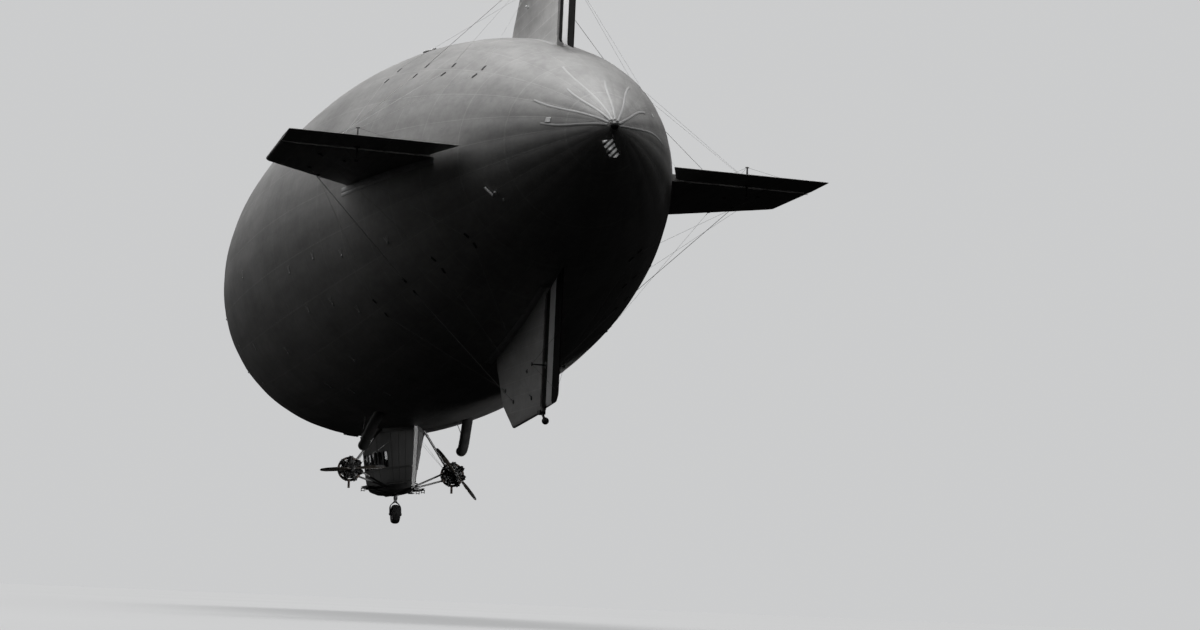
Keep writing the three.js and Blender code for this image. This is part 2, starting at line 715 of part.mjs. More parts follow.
function airScoop(sign) {
  const path = new THREE.CatmullRomCurve3([
    new THREE.Vector3(mm(0.5), sign * mm(1.73), mm(-6.8)),
    new THREE.Vector3(mm(0.28), sign * mm(1.73), mm(-6.74)),
    new THREE.Vector3(mm(-0.05), sign * mm(1.7), mm(-6.52)),
    new THREE.Vector3(mm(-0.75), sign * mm(1.6), mm(-6.02)),
    new THREE.Vector3(mm(-1.6), sign * mm(1.46), mm(-5.5)),
  ]);
  const outerRadius = mm(0.18);
  const innerRadius = mm(0.156);
  const ring = new THREE.Shape().absarc(0, 0, outerRadius, 0, 2 * Math.PI);
  const steps = { steps: 7, extrudePath: path, bevelEnabled: false, curveSegments: 6 };
  const outer = solid(new THREE.ExtrudeGeometry(ring, steps));
  const bore = new THREE.Shape().absarc(0, 0, innerRadius, 0, 2 * Math.PI);
  const inner = solid(new THREE.ExtrudeGeometry(bore, steps));
  const through = rod([0.43, sign * 1.73, -6.781], [0.7, sign * 1.73, -6.855], innerRadius, 12);
  return outer.subtract(inner).subtract(through).subtract(hullCut);
}

for (const side of sides) addNode(`air_scoop_${side.name}`, materials.darkDope, airScoop(side.sign));

// Racks under the car's sides, empty

function storeRack(sign) {
  const ys = (near, far) => [sign * near, sign * far].sort((a, b) => a - b);
  const [beamLow, beamHigh] = ys(0.97, 1.05);
  const pieces = [block([3.0, beamLow, -8.1], [4.2, beamHigh, -8.02])];
  for (const x of [3.15, 4.05]) {
    const [low, high] = ys(0.4, 1.0);
    pieces.push(block([x - 0.03, low, -8.09], [x + 0.03, high, -8.03]));
    const [hookLow, hookHigh] = ys(0.95, 1.07);
    pieces.push(block([x - 0.05, hookLow, -8.2], [x + 0.05, hookHigh, -8.06]));
    pieces.push(rod([x, sign * 0.26, -8.25], [x, sign * 1.0, -8.07], 9, 6));
  }
  return join(pieces).subtract(carFilled);
}

for (const side of sides) addNode(`store_rack_${side.name}`, materials.steelTube, storeRack(side.sign));

// Landing gear: one swivelling wheel under the car

{
  const strut = join([
    rod([wheel.swivelX, 0, -8.2], [wheel.swivelX, 0, -8.5], 34, 12),
    rod([wheel.swivelX, 0, -8.2], [wheel.swivelX, 0, -8.335], 62, 12),
  ]);
  addNode("landing_strut", materials.steelTube, strut.subtract(carFilled));

  const crownTop = -8.5 - moveGapMm / 1000 / SCALE;
  const legY = wheel.halfWidth + 0.05;
  const pieces = [rod([wheel.swivelX, 0, crownTop], [wheel.swivelX, 0, crownTop - 0.08], 32, 12)];
  for (const sign of [-1, 1]) {
    const neck = [wheel.swivelX, sign * 0.03, crownTop - 0.045];
    const shoulder = [wheel.swivelX - 0.04, sign * 0.176, crownTop - 0.13];
    pieces.push(rod(neck, shoulder, 15, 8));
    pieces.push(ball(shoulder, 15));
    pieces.push(rod(shoulder, [wheel.x, sign * legY, wheel.z], 14, 8));
  }
  pieces.push(rod([wheel.x, -legY - 0.04, wheel.z], [wheel.x, legY + 0.04, wheel.z], 15, 12));
  addNode("wheel_fork", materials.steelTube, join(pieces));

  const { halfWidth, rimRadius, radius } = wheel;
  const tyreProfile = [
    [-0.09, rimRadius], [-halfWidth, rimRadius + 0.07], [-halfWidth * 0.85, radius - 0.04],
    [-halfWidth * 0.4, radius], [halfWidth * 0.4, radius], [halfWidth * 0.85, radius - 0.04],
    [halfWidth, rimRadius + 0.07], [0.09, rimRadius], [-0.09, rimRadius],
  ];
  const place = [mm(wheel.x), 0, mm(wheel.z)];
  const tyre = addNode("tyre", materials.rubber, turned(tyreProfile, wheel.sides).rotate([0, 0, 90]));
  tyre.position.set(...place);
  const rim = rimRadius - touchGap;
  const hubBore = 0.03 + pinGapMm / 1000 / SCALE;
  const hubProfile = [
    [-0.15, hubBore], [-0.15, 0.06], [-0.04, 0.07], [-0.08, rim], [0.08, rim],
    [0.04, 0.07], [0.15, 0.06], [0.15, hubBore], [-0.15, hubBore],
  ];
  const hub = addNode("wheel_hub", materials.steelTube, turned(hubProfile, wheel.sides).rotate([0, 0, 90]));
  hub.position.set(...place);
}

// Valves: round plates on the hull, each with its outward direction in degrees from straight up

const valves = [
  { name: "gas_valve_port", x: -9.36, degrees: -24, radius: 0.22 },
  { name: "gas_valve_starboard", x: -9.36, degrees: 24, radius: 0.22 },
  { name: "air_valve_forward", x: 9.4, degrees: 174, radius: 0.3 },
];

for (const valve of valves) {
  const reach = hullRadius(valve.x);
  const plate = rod([valve.x, 0, reach - 0.2], [valve.x, 0, reach + 0.05], mm(valve.radius), 14);
  addNode(valve.name, materials.steelTube, plate.rotate([-valve.degrees, 0, 0]).subtract(hullCut));
}

export default airship;
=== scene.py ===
"""A half-size model of a two-engined patrol airship of the 1940s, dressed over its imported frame.

Sizes are written in metres of the full-size ship, as [forward, port, up] from the middle of the hull's axis.
full() turns them into the model's metres. Values whose name ends in _model are metres of the model itself.
"""

import json
import math

import bmesh
import bpy
from mathutils import Matrix, Vector

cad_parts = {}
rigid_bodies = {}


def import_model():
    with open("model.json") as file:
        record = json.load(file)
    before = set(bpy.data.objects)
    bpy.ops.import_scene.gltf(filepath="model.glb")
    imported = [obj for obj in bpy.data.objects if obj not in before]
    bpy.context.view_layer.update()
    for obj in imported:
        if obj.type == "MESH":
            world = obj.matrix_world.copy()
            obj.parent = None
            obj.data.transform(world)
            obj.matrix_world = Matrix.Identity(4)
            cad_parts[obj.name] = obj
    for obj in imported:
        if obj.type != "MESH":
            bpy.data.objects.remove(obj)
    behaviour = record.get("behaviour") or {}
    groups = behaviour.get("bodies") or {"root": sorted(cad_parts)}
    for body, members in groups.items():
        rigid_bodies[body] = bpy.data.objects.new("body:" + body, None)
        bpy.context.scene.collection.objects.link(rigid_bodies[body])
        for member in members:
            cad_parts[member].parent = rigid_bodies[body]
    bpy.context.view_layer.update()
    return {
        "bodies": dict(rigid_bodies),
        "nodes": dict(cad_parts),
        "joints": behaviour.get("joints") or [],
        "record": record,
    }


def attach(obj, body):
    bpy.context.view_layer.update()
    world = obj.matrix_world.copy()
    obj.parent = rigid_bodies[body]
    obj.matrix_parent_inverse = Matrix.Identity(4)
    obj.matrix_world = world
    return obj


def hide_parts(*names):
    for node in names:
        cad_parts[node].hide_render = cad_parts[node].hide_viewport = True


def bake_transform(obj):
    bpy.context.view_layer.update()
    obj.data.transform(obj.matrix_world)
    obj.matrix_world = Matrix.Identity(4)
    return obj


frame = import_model()

# Driving dimensions

SCALE = 0.5
HULL_LENGTH = 44.96
HULL_RADIUS = 6.07
WIDEST_SHARE = 0.423
BOW_POWER = 2.17
STERN_POWER = 2.342
STERN_ROUNDNESS = 0.689
HINGE_X = -17.0
FIN_EDGE_X = -16.912
SIDES = {"port": 1, "starboard": -1}


def full(x, y, z):
    return Vector((x, y, z)) * SCALE


def sized(profile):
    """A profile in full-size metres, brought to the model's."""
    return [(along * SCALE, reach * SCALE) for along, reach in profile]


def turns(count, offset=0.0):
    """Angles that stand evenly round a circle."""
    return [2 * math.pi * (k + offset) / count for k in range(count)]


def about_x(x, radius, angle):
    """A point of a circle about the axis X, at an angle from straight up."""
    return Vector((x, radius * math.sin(angle), radius * math.cos(angle)))


# Camera: its place, heading, climb, roll and lens come from a fit to the hull's outline in the photo

CAMERA_PLACE = full(-73.905, 15.258, -11.985)
CAMERA_HEADING = math.radians(-16.357)
CAMERA_CLIMB = math.radians(7.626)
CAMERA_ROLL = math.radians(-2.384)
CAMERA_LENS_MM = 65.45


def make_camera():
    forward = Vector((
        math.cos(CAMERA_CLIMB) * math.cos(CAMERA_HEADING),
        math.cos(CAMERA_CLIMB) * math.sin(CAMERA_HEADING),
        math.sin(CAMERA_CLIMB),
    ))
    level_right = forward.cross(Vector((0, 0, 1))).normalized()
    level_up = level_right.cross(forward)
    right = math.cos(CAMERA_ROLL) * level_right - math.sin(CAMERA_ROLL) * level_up
    up = math.sin(CAMERA_ROLL) * level_right + math.cos(CAMERA_ROLL) * level_up
    data = bpy.data.cameras.new("camera")
    data.sensor_width = 36
    data.lens = CAMERA_LENS_MM
    data.clip_end = 2000
    camera = bpy.data.objects.new("camera", data)
    bpy.context.collection.objects.link(camera)
    camera.matrix_world = Matrix((
        (right.x, up.x, -forward.x, CAMERA_PLACE.x),
        (right.y, up.y, -forward.y, CAMERA_PLACE.y),
        (right.z, up.z, -forward.z, CAMERA_PLACE.z),
        (0, 0, 0, 1),
    ))
    bpy.context.scene.camera = camera


make_camera()


# Materials: every one is made of noise, in the object's own coordinates


def math_node(tree, operation, *values):
    """A node that calculates; each value is a number or another node's output."""
    node = tree.nodes.new("ShaderNodeMath")
    node.operation = operation
    for socket, value in zip(node.inputs, values):
        if isinstance(value, (int, float)):
            socket.default_value = value
        else:
            tree.links.new(value, socket)
    return node.outputs["Value"]


class Surface:
    """A material with its node tree, and short ways to add nodes to it."""

    def __init__(self, name, roughness=0.5, metallic=0.0):
        self.material = bpy.data.materials.new(name)
        self.material.use_nodes = True
        self.tree = self.material.node_tree
        self.shader = self.tree.nodes["Principled BSDF"]
        self.shader.inputs["Metallic"].default_value = metallic
        self.shader.inputs["Roughness"].default_value = roughness
        self.coordinates = self.tree.nodes.new("ShaderNodeTexCoord").outputs["Object"]
        self.bump_chain = None

    def link(self, source, target):
        self.tree.links.new(source, target)

    def stretched(self, scale):
        node = self.tree.nodes.new("ShaderNodeMapping")
        node.inputs["Scale"].default_value = scale
        self.link(self.coordinates, node.inputs["Vector"])
        return node.outputs["Vector"]

    def noise(self, scale, detail=4.0, stretch=None, roughness=0.55):
        node = self.tree.nodes.new("ShaderNodeTexNoise")
        node.inputs["Scale"].default_value = scale
        node.inputs["Detail"].default_value = detail
        node.inputs["Roughness"].default_value = roughness
        self.link(self.stretched(stretch) if stretch else self.coordinates, node.inputs["Vector"])
        return node.outputs["Fac"]

    def ramp(self, source, low, high, low_colour, high_colour):
        node = self.tree.nodes.new("ShaderNodeValToRGB")
        node.color_ramp.elements[0].position = low
        node.color_ramp.elements[1].position = high
        node.color_ramp.elements[0].color = (*low_colour, 1)
        node.color_ramp.elements[1].color = (*high_colour, 1)
        self.link(source, node.inputs["Fac"])
        return node.outputs["Color"]

    def math(self, operation, *values):
        return math_node(self.tree, operation, *values)

    def axis(self, name):
        node = self.tree.nodes.new("ShaderNodeSeparateXYZ")
        self.link(self.coordinates, node.inputs["Vector"])
        return node.outputs[name]

    def mix(self, factor, first, second, blend="MIX"):
        node = self.tree.nodes.new("ShaderNodeMix")
        node.data_type = "RGBA"
        node.blend_type = blend
        for socket_name, value in (("Factor", factor), ("A", first), ("B", second)):
            self.set_socket(node.inputs[socket_name], value)
        return node.outputs["Result"]

    def set_socket(self, socket, value):
        if isinstance(value, (int, float)):
            socket.default_value = value
        elif isinstance(value, tuple):
            socket.default_value = (*value, 1)
        else:
            self.link(value, socket)

    def colour(self, source):
        self.set_socket(self.shader.inputs["Base Color"], source)

    def roughness(self, source, low, high):
        node = self.tree.nodes.new("ShaderNodeMapRange")
        node.inputs["To Min"].default_value = low
        node.inputs["To Max"].default_value = high
        self.link(source, node.inputs["Value"])
        self.link(node.outputs["Result"], self.shader.inputs["Roughness"])

    def bump(self, source, distance, strength=1.0):
        node = self.tree.nodes.new("ShaderNodeBump")
        node.inputs["Distance"].default_value = distance
        node.inputs["Strength"].default_value = strength
        self.link(source, node.inputs["Height"])
        if self.bump_chain:
            self.link(self.bump_chain, node.inputs["Normal"])
        self.bump_chain = node.outputs["Normal"]
        self.link(self.bump_chain, self.shader.inputs["Normal"])

    def line_mask(self, source, spacing, width):
        """1 on thin lines that repeat every spacing, and 0 between them."""
        share = self.math("FRACT", self.math("DIVIDE", source, spacing))
        middle = self.math("ABSOLUTE", self.math("SUBTRACT", share, 0.5))
        return self.math("GREATER_THAN", middle, 0.5 - width / spacing / 2)


def grey(value, warmth=0.0):
    return (value * (1 + warmth), value, value * (1 - warmth))


def mottled(name, dark, light, scale, roughness=(0.4, 0.6), metallic=0.0, bump=0.0, bump_scale=60.0,
            stretch=None):
    """The common finish: two tones by noise, uneven gloss and a fine relief."""
    surface = Surface(name, metallic=metallic)
    tone = surface.noise(scale, 6.0, stretch)
    surface.colour(surface.ramp(tone, 0.3, 0.7, dark, light))
    surface.roughness(surface.noise(scale * 2.3, 4.0), *roughness)
    if bump:
        surface.bump(surface.noise(bump_scale, 3.0), bump)
    return surface


GORES = 24
GORE_TAPE_RADIANS = 0.0075
PANEL_LENGTH_MODEL = 0.9
PANEL_TAPE_MODEL = 0.022


def doped_fabric(name, dark, light, seams=True):
    """Silver dope over cotton: blotches, runs of dirt, seam tapes and a fine weave."""
    surface = Surface(name, metallic=0.0)
    blotches = surface.ramp(surface.noise(0.55, 5.0), 0.3, 0.72, dark, light)
    grime = surface.ramp(surface.noise(1.3, 7.0, (0.5, 2.6, 2.6), 0.65), 0.36, 0.62, grey(0.72), grey(1.0))
    tone = surface.mix(0.75, blotches, grime, "MULTIPLY")
    fine = surface.ramp(surface.noise(9.0, 6.0, None, 0.7), 0.35, 0.65, grey(0.88), grey(1.05))
    tone = surface.mix(0.8, tone, fine, "MULTIPLY")
    if seams:
        angle = surface.math("ARCTAN2", surface.axis("Y"), surface.axis("Z"))
        along = surface.line_mask(angle, 2 * math.pi / GORES, GORE_TAPE_RADIANS)
        across = surface.line_mask(surface.axis("X"), PANEL_LENGTH_MODEL, PANEL_TAPE_MODEL)
        tapes = surface.math("MAXIMUM", along, across)
        faded = surface.math("MULTIPLY", tapes, surface.noise(2.0, 3.0))
        tone = surface.mix(faded, tone, surface.mix(1.0, tone, grey(1.32), "MULTIPLY"))
        surface.bump(tapes, 0.0015, 0.6)
    surface.colour(tone)
    surface.roughness(surface.noise(3.0, 5.0), 0.42, 0.66)
    surface.bump(surface.noise(1.1, 3.0), 0.012, 0.5)
    surface.bump(surface.noise(220.0, 2.0), 0.0006, 0.5)
    return surface


HULL_DOPE = doped_fabric("hull_dope", grey(0.29, 0.01), grey(0.40, 0.01))
TAPE_DOPE = mottled("tape_dope", grey(0.42), grey(0.58), 3.0, (0.4, 0.55), 0.0, 0.0006, 200.0)
STERN_TAPE = mottled("stern_tape", grey(0.37), grey(0.48), 3.0, (0.45, 0.6), 0.0, 0.0006, 200.0)
BLACK_PATCH = mottled("black_patch", grey(0.02), grey(0.04), 6.0, (0.5, 0.7), 0.0, 0.0006, 160.0)
BLACK_PAINT = mottled("black_paint", grey(0.012), grey(0.03), 12.0, (0.3, 0.55), 0.0, 0.0004, 90.0)
# White paint. On the hull's small fittings it is also a painted highlight, standing in for the glint of
# their bare metal.
WHITE_PAINT_AND_GLINT = mottled("white_paint_and_glint", grey(0.7), grey(0.85), 9.0, (0.3, 0.5), 0.0, 0.0003, 120.0)
CAR_PAINT = mottled("car_paint", grey(0.13), grey(0.19), 2.2, (0.32, 0.55), 0.25, 0.0006, 40.0, (1, 1, 0.35))
FRAME_PAINT = mottled("frame_paint", grey(0.07), grey(0.12), 7.0, (0.3, 0.5), 0.2, 0.0005, 70.0)
NOSE_PAINT = mottled("nose_paint", grey(0.30), grey(0.42), 4.0, (0.3, 0.5), 0.4, 0.0006, 60.0)
TUBE_PAINT = mottled("tube_paint", grey(0.05), grey(0.10), 9.0, (0.35, 0.6), 0.3, 0.0004, 120.0)
STRUT_PAINT = mottled("strut_paint", grey(0.15), grey(0.22), 7.0, (0.35, 0.55), 0.3, 0.0004, 90.0)
SCOOP_PAINT = mottled("scoop_paint", grey(0.035), grey(0.07), 7.0, (0.45, 0.65), 0.1, 0.0006, 60.0,
                      (1, 1, 0.4))
BARE_METAL = mottled("bare_metal", grey(0.36), grey(0.52), 14.0, (0.25, 0.45), 0.85, 0.0003, 150.0)
DARK_METAL = mottled("dark_metal", grey(0.03), grey(0.075), 16.0, (0.35, 0.6), 0.6, 0.0005, 120.0)
BURNT_METAL = mottled("burnt_metal", (0.06, 0.045, 0.04), (0.13, 0.1, 0.085), 12.0, (0.45, 0.7),
                      0.7, 0.0005, 110.0)
WIRE = mottled("wire", grey(0.50), grey(0.62), 60.0, (0.4, 0.55), 0.2)
RUBBER = mottled("rubber", grey(0.012), grey(0.028), 18.0, (0.7, 0.9), 0.0, 0.0008, 140.0)
VARNISHED_WOOD = mottled("varnished_wood", (0.024, 0.021, 0.018), (0.055, 0.048, 0.041), 6.0, (0.2, 0.4),
                         0.0, 0.0003, 60.0, (6, 6, 0.6))
FLOOR_WOOD = mottled("floor_wood", (0.10, 0.075, 0.05), (0.17, 0.13, 0.09), 5.0, (0.45, 0.7),
                     0.0, 0.0004, 50.0, (0.5, 5, 5))
LEATHER = mottled("leather", (0.020, 0.015, 0.012), (0.045, 0.034, 0.026), 14.0, (0.4, 0.65),
                  0.0, 0.001, 90.0)
GLASS_INDEX = 1.45
GLASS_ALPHA = 0.22


def glass_surface():
    surface = Surface("cabin_glass", roughness=0.04)
    surface.shader.inputs["Transmission Weight"].default_value = 1.0
    surface.shader.inputs["IOR"].default_value = GLASS_INDEX
    surface.shader.inputs["Alpha"].default_value = GLASS_ALPHA
    surface.colour(surface.ramp(surface.noise(7.0, 4.0), 0.3, 0.7, grey(0.86), grey(0.95)))
    surface.roughness(surface.noise(22.0, 4.0), 0.02, 0.12)
    return surface


GLASS = glass_surface()


# Meshes


class Sketch:
    """Collects closed shapes into one mesh, in the model's metres."""

    def __init__(self):
        self.mesh = bmesh.new()

    def grid(self, rows, close_rows=False, close_columns=False):
        """Skins rows of points. Returns the rows of vertices."""
        made = [[self.mesh.verts.new(point) for point in row] for row in rows]
        self.skin(made, close_rows, close_columns)
        return made

    def skin(self, made, close_rows=False, close_columns=False):
        last_row = len(made) if close_rows else len(made) - 1
        width = len(made[0])
        last_column = width if close_columns else width - 1
        for i in range(last_row):
            for k in range(last_column):
                after, right = (i + 1) % len(made), (k + 1) % width
                corners = [made[i][k], made[i][right], made[after][right], made[after][k]]
                unique = [v for n, v in enumerate(corners) if v not in corners[:n]]
                if len(unique) > 2:
                    self.mesh.faces.new(unique)

    def cap(self, ring, flip=False):
        self.mesh.faces.new(list(reversed(ring)) if flip else ring)

    def loft(self, rings):
        """Skins rings of points, and closes both ends."""
        made = self.grid(rings, close_columns=True)
        self.cap(made[0], flip=True)
        self.cap(made[-1])

    def tube(self, points, radius, sides=12, closed=False):
        """A round tube along points; radius is one number or one for each point."""
        points = [Vector(p) for p in points]
        radii = radius if isinstance(radius, (list, tuple)) else [radius] * len(points)
        count = len(points)
        rings = []
        reference = None
        for i, point in enumerate(points):
            before = points[i - 1] if i > 0 or closed else point
            after = points[(i + 1) % count] if i < count - 1 or closed else point
            heading = (after - before).normalized()
            if reference is None:
                reference = heading.orthogonal().normalized()
            reference = (reference - heading * reference.dot(heading)).normalized()
            across = heading.cross(reference)
            rings.append([point + (reference * math.cos(angle) + across * math.sin(angle)) * radii[i]
                          for angle in turns(sides)])
        if closed:
            self.grid(rings, close_rows=True, close_columns=True)
        else:
            self.loft(rings)

    def rod(self, start, end, radius, sides):
        """A straight tube between two places in full-size metres."""
        self.tube([full(*start), full(*end)], radius, sides)

    def turned(self, profile, centre, heading, sides=48):
        """A body turned about a heading; profile is (distance along, radius), with both ends on the axis."""
        centre, heading = Vector(centre), Vector(heading).normalized()
        reference = heading.orthogonal().normalized()
        across = heading.cross(reference)
        rings = []
        for along, radius in profile:
            middle = centre + heading * along
            if radius < 1e-6:
                rings.append([self.mesh.verts.new(middle)] * sides)
                continue
            ring = []
            for angle in turns(sides):
                spot = middle + (reference * math.cos(angle) + across * math.sin(angle)) * radius
                ring.append(self.mesh.verts.new(spot))
            rings.append(ring)
        closed = profile[0][1] > 1e-6
        self.skin(rings, close_rows=closed, close_columns=True)

    def stud(self, spot, heading, radius, shoulder, top, top_radius, sides=6, base=0.0):
        """A bolt head or a low boss with a chamfered top."""
        profile = [(base, 0.0), (base, radius), (shoulder, radius), (top, top_radius), (top, 0.0)]
        self.turned(profile, spot, heading, sides)

    def box(self, low, high, bevel=0.0, segments=2):
        """A block between two places in full-size metres."""
        self.block(full(*low), full(*high), bevel, segments)

    def block(self, low, high, bevel=0.0, segments=2):
        made = bmesh.ops.create_cube(self.mesh, size=1.0)["verts"]
        for vertex in made:
            vertex.co = Vector((high[i] if vertex.co[i] > 0 else low[i] for i in range(3)))
        if bevel:
            edges = list({edge for vertex in made for edge in vertex.link_edges})
            bmesh.ops.bevel(self.mesh, geom=edges, offset=bevel, segments=segments, affect="EDGES",
                            profile=0.5)

    def turned_copy(self, other, matrix):
        """Adds another sketch's mesh, moved by a matrix."""
        temporary = bpy.data.meshes.new("temporary")
        other.mesh.to_mesh(temporary)
        temporary.transform(matrix)
        self.mesh.from_mesh(temporary)
        bpy.data.meshes.remove(temporary)

    def loose(self, name):
        """An object of the mesh that isn't a piece yet."""
        bmesh.ops.recalc_face_normals(self.mesh, faces=self.mesh.faces)
        data = bpy.data.meshes.new(name)
        self.mesh.to_mesh(data)
        self.mesh.free()
        made = bpy.data.objects.new(name, data)
        bpy.context.collection.objects.link(made)
        return made

    def piece(self, name, surface, slot, body="airframe", replaces=(), smooth_degrees=40.0):
        made = self.loose(name)
        dress(made, surface, body, replaces, smooth_degrees)
        return made


def dress(made, surface, body="airframe", replaces=(), smooth_degrees=None):
    """Gives an object its material and makes it a piece that rides on a body."""
    made.data.materials.clear()
    made.data.materials.append(surface.material)
    made.data.shade_smooth()
    if smooth_degrees:
        made.data.set_sharp_from_angle(angle=math.radians(smooth_degrees))
    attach(made, body)
    if replaces:
        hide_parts(*replaces)


def smooth_path(points, count):
    """Points on a smooth curve through the given ones."""
    points = [Vector(p) for p in points]
    padded = [points[0] * 2 - points[1], *points, points[-1] * 2 - points[-2]]
    path = []
    spans = len(points) - 1
    for i in range(count + 1):
        place = min(spans - 1e-6, spans * i / count)
        k = int(place)
        t = place - k
        a, b, c, d = padded[k:k + 4]
        path.append(0.5 * (2 * b + (c - a) * t + (2 * a - 5 * b + 4 * c - d) * t * t
                           + (3 * b - a - 3 * c + d) * t ** 3))
    return path


def repaint(node, surface):
    """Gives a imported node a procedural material."""
    made = frame["nodes"][node]
    made.data.materials.clear()
    made.data.materials.append(surface.material)


# Hull


def hull_radius(x):
    station = HULL_LENGTH / 2 - x
    widest = HULL_LENGTH * WIDEST_SHARE
    if station < widest:
        share = min(1.0, (widest - station) / widest)
        return HULL_RADIUS * math.sqrt(1 - share ** BOW_POWER)
    share = min(1.0, (station - widest) / (HULL_LENGTH - widest))
    return HULL_RADIUS * (1 - share ** STERN_POWER) ** STERN_ROUNDNESS


def hull_normal(x, degrees):
    step = 0.004
    slope = (hull_radius(x + step) - hull_radius(x - step)) / (2 * step)
    angle = math.radians(degrees)
    return Vector((-slope, math.sin(angle), math.cos(angle))).normalized()


def hull_point(x, degrees, out_model=0.0):
    """A point on the hull, in the model's metres, at an angle from straight up, positive to port."""
    angle = math.radians(degrees)
    radius = hull_radius(x)
    return full(x, radius * math.sin(angle), radius * math.cos(angle)) + hull_normal(x, degrees) * out_model


def hull_place(share):
    """The place along the ship at a share of the way from bow to stern, closer together at both ends."""
    widest = HULL_LENGTH * WIDEST_SHARE
    if share < WIDEST_SHARE:
        angle = math.pi / 2 * share / WIDEST_SHARE
        return HULL_LENGTH / 2 - widest * (1 - math.cos(angle))
    angle = math.pi / 2 * (share - WIDEST_SHARE) / (1 - WIDEST_SHARE)
    return HULL_LENGTH / 2 - widest - (HULL_LENGTH - widest) * math.sin(angle)


HULL_RINGS = 150
GORE_STEPS = 8
SEAM_DEPTH_MODEL = 0.005


def make_envelope():
    """The fabric hull: its gores swell a little between their seams."""
    sketch = Sketch()
    around = GORES * GORE_STEPS
    rows = []
    for i in range(HULL_RINGS + 1):
        x = hull_place(i / HULL_RINGS)
        radius = hull_radius(x)
        if radius < 0.01:
            rows.append([sketch.mesh.verts.new(full(x, 0, 0))] * around)
            continue
        row = []
        for k in range(around):
            swell = math.sin(math.pi * (k % GORE_STEPS) / GORE_STEPS)
            depth = SEAM_DEPTH_MODEL * (1 - swell) * min(1.0, radius / 2)
            row.append(sketch.mesh.verts.new(hull_point(x, 360 * k / around, -depth)))
        rows.append(row)
    sketch.skin(rows, close_columns=True)
    sketch.piece("hull_fabric", HULL_DOPE, slot="hull_fabric", replaces=["envelope"], smooth_degrees=80)


def strip_on_hull(sketch, places, width_model, out_model, thick_model=0.0012):
    """A flat tape along the hull through (x, degrees) places. out_model is a height, or gives it at x."""
    rise = out_model if callable(out_model) else lambda x: out_model
    centres = [hull_point(x, degrees) for x, degrees in places]
    normals = [hull_normal(x, degrees) for x, degrees in places]
    rows = []
    for i, (centre, normal) in enumerate(zip(centres, normals)):
        before, after = centres[max(0, i - 1)], centres[min(len(centres) - 1, i + 1)]
        across = (after - before).normalized().cross(normal).normalized() * width_model / 2
        low, high = normal * rise(places[i][0]), normal * (rise(places[i][0]) + thick_model)
        rows.append([centre - across + low, centre - across * 0.9 + high, centre + across * 0.9 + high,
                     centre + across + low])
    sketch.loft(rows)


STERN_END = -HULL_LENGTH / 2
STERN_CAP_LENGTH = 0.37
STERN_TIP = [(-0.02, 0.0), (-0.02, 0.1), (0.03, 0.11), (0.05, 0.1), (0.08, 0.07), (0.095, 0.045), (0.1, 0.0)]
STERN_TAPE_DEGREES = (-84, -59, -33, -7, 18, 36, 59, 81)
STERN_TAPE_REACHES = (2.3, 1.1, 1.7, 1.2)
STERN_PLATES = ((-21.12, 78, 0.07), (-20.3, -62, 0.05))
STERN_BRACKET = ((-18.85, 116.1), (-19.0, 122.5), (-19.12, 121.2))
STERN_BRACKET_OUT_MODEL = 0.03
STERN_CLIP = (-19.19, 127.8)


def stern_cap_rise(x):
    """How far the stern cap stands out from the hull: nothing at its edge, and more towards the tip."""
    share = (STERN_CAP_LENGTH - HULL_LENGTH / 2 - x) / STERN_CAP_LENGTH
    return 0.016 * min(1.0, max(0.0, share) * 1.6) + (0.002 if share >= 0 else 0.0)


def make_stern():
    """The doped cap at the stern with its black tip, the tapes forward of it, and small fittings."""
    sketch = Sketch()
    profile = [(0.0, 0.0), (0.0, hull_radius(STERN_END + STERN_CAP_LENGTH) + 0.002)]
    for step in range(1, 14):
        share = step / 14
        x = STERN_END + STERN_CAP_LENGTH * (1 - share)
        profile.append((STERN_CAP_LENGTH * share, hull_radius(x) + stern_cap_rise(x)))
    for past_end, radius in ((0.03, 0.14), (0.045, 0.10), (0.045, 0.0)):
        profile.append((STERN_CAP_LENGTH + past_end, radius))
    sketch.turned(sized(profile), full(STERN_END + STERN_CAP_LENGTH, 0, 0), (-1, 0, 0), 64)
    sketch.piece("stern_cap", HULL_DOPE, slot="stern_metal", replaces=["stern_cone"])

    tip = Sketch()
    tip.turned(sized(STERN_TIP), full(STERN_END - 0.025, 0, 0), (-1, 0, 0), 32)
    for angle in turns(12):
        tip.stud(full(*about_x(STERN_END - 0.03, 0.13, angle)), (-1, 0, 0), 0.005, 0.004, 0.006, 0.003)
    tip.piece("stern_tip", BLACK_PAINT, slot="stern_metal")

    tapes = Sketch()
    for i, degrees in enumerate(STERN_TAPE_DEGREES):
        reach = STERN_TAPE_REACHES[i % len(STERN_TAPE_REACHES)]
        places = [(STERN_END + 0.06 + (reach + 0.3) * step / 18, degrees + 4 * math.sin(step / 6))
                  for step in range(19)]
        strip_on_hull(tapes, places, 0.03, lambda x: 0.0004 + stern_cap_rise(x) * SCALE, 0.0008)
    tapes.piece("stern_tapes", STERN_TAPE, slot="hull_fabric")

    fittings = Sketch()
    for x, degrees, size in STERN_PLATES:
        strip_on_hull(fittings, [(x - size, degrees), (x + size, degrees)], size, 0.001, 0.003)
    corners = [hull_point(*place, STERN_BRACKET_OUT_MODEL) for place in STERN_BRACKET]
    fittings.tube(corners, 0.017, 10)
    for place, corner in zip(STERN_BRACKET, corners):
        fittings.tube([corner, hull_point(*place)], 0.006, 8)
    fittings.turned([(0.0, 0.0), (0.0, 0.02), (0.01, 0.016), (0.014, 0.0)], hull_point(*STERN_CLIP),
                    hull_normal(*STERN_CLIP), 16)
    # The white of these fittings is a painted highlight, standing in for the glint of their glossy bare
    # metal.
    fittings.piece("stern_fittings", WHITE_PAINT_AND_GLINT, slot="hull_fabric")


# Stage: a pale floor just under the camera, a pale backdrop and soft light from overhead

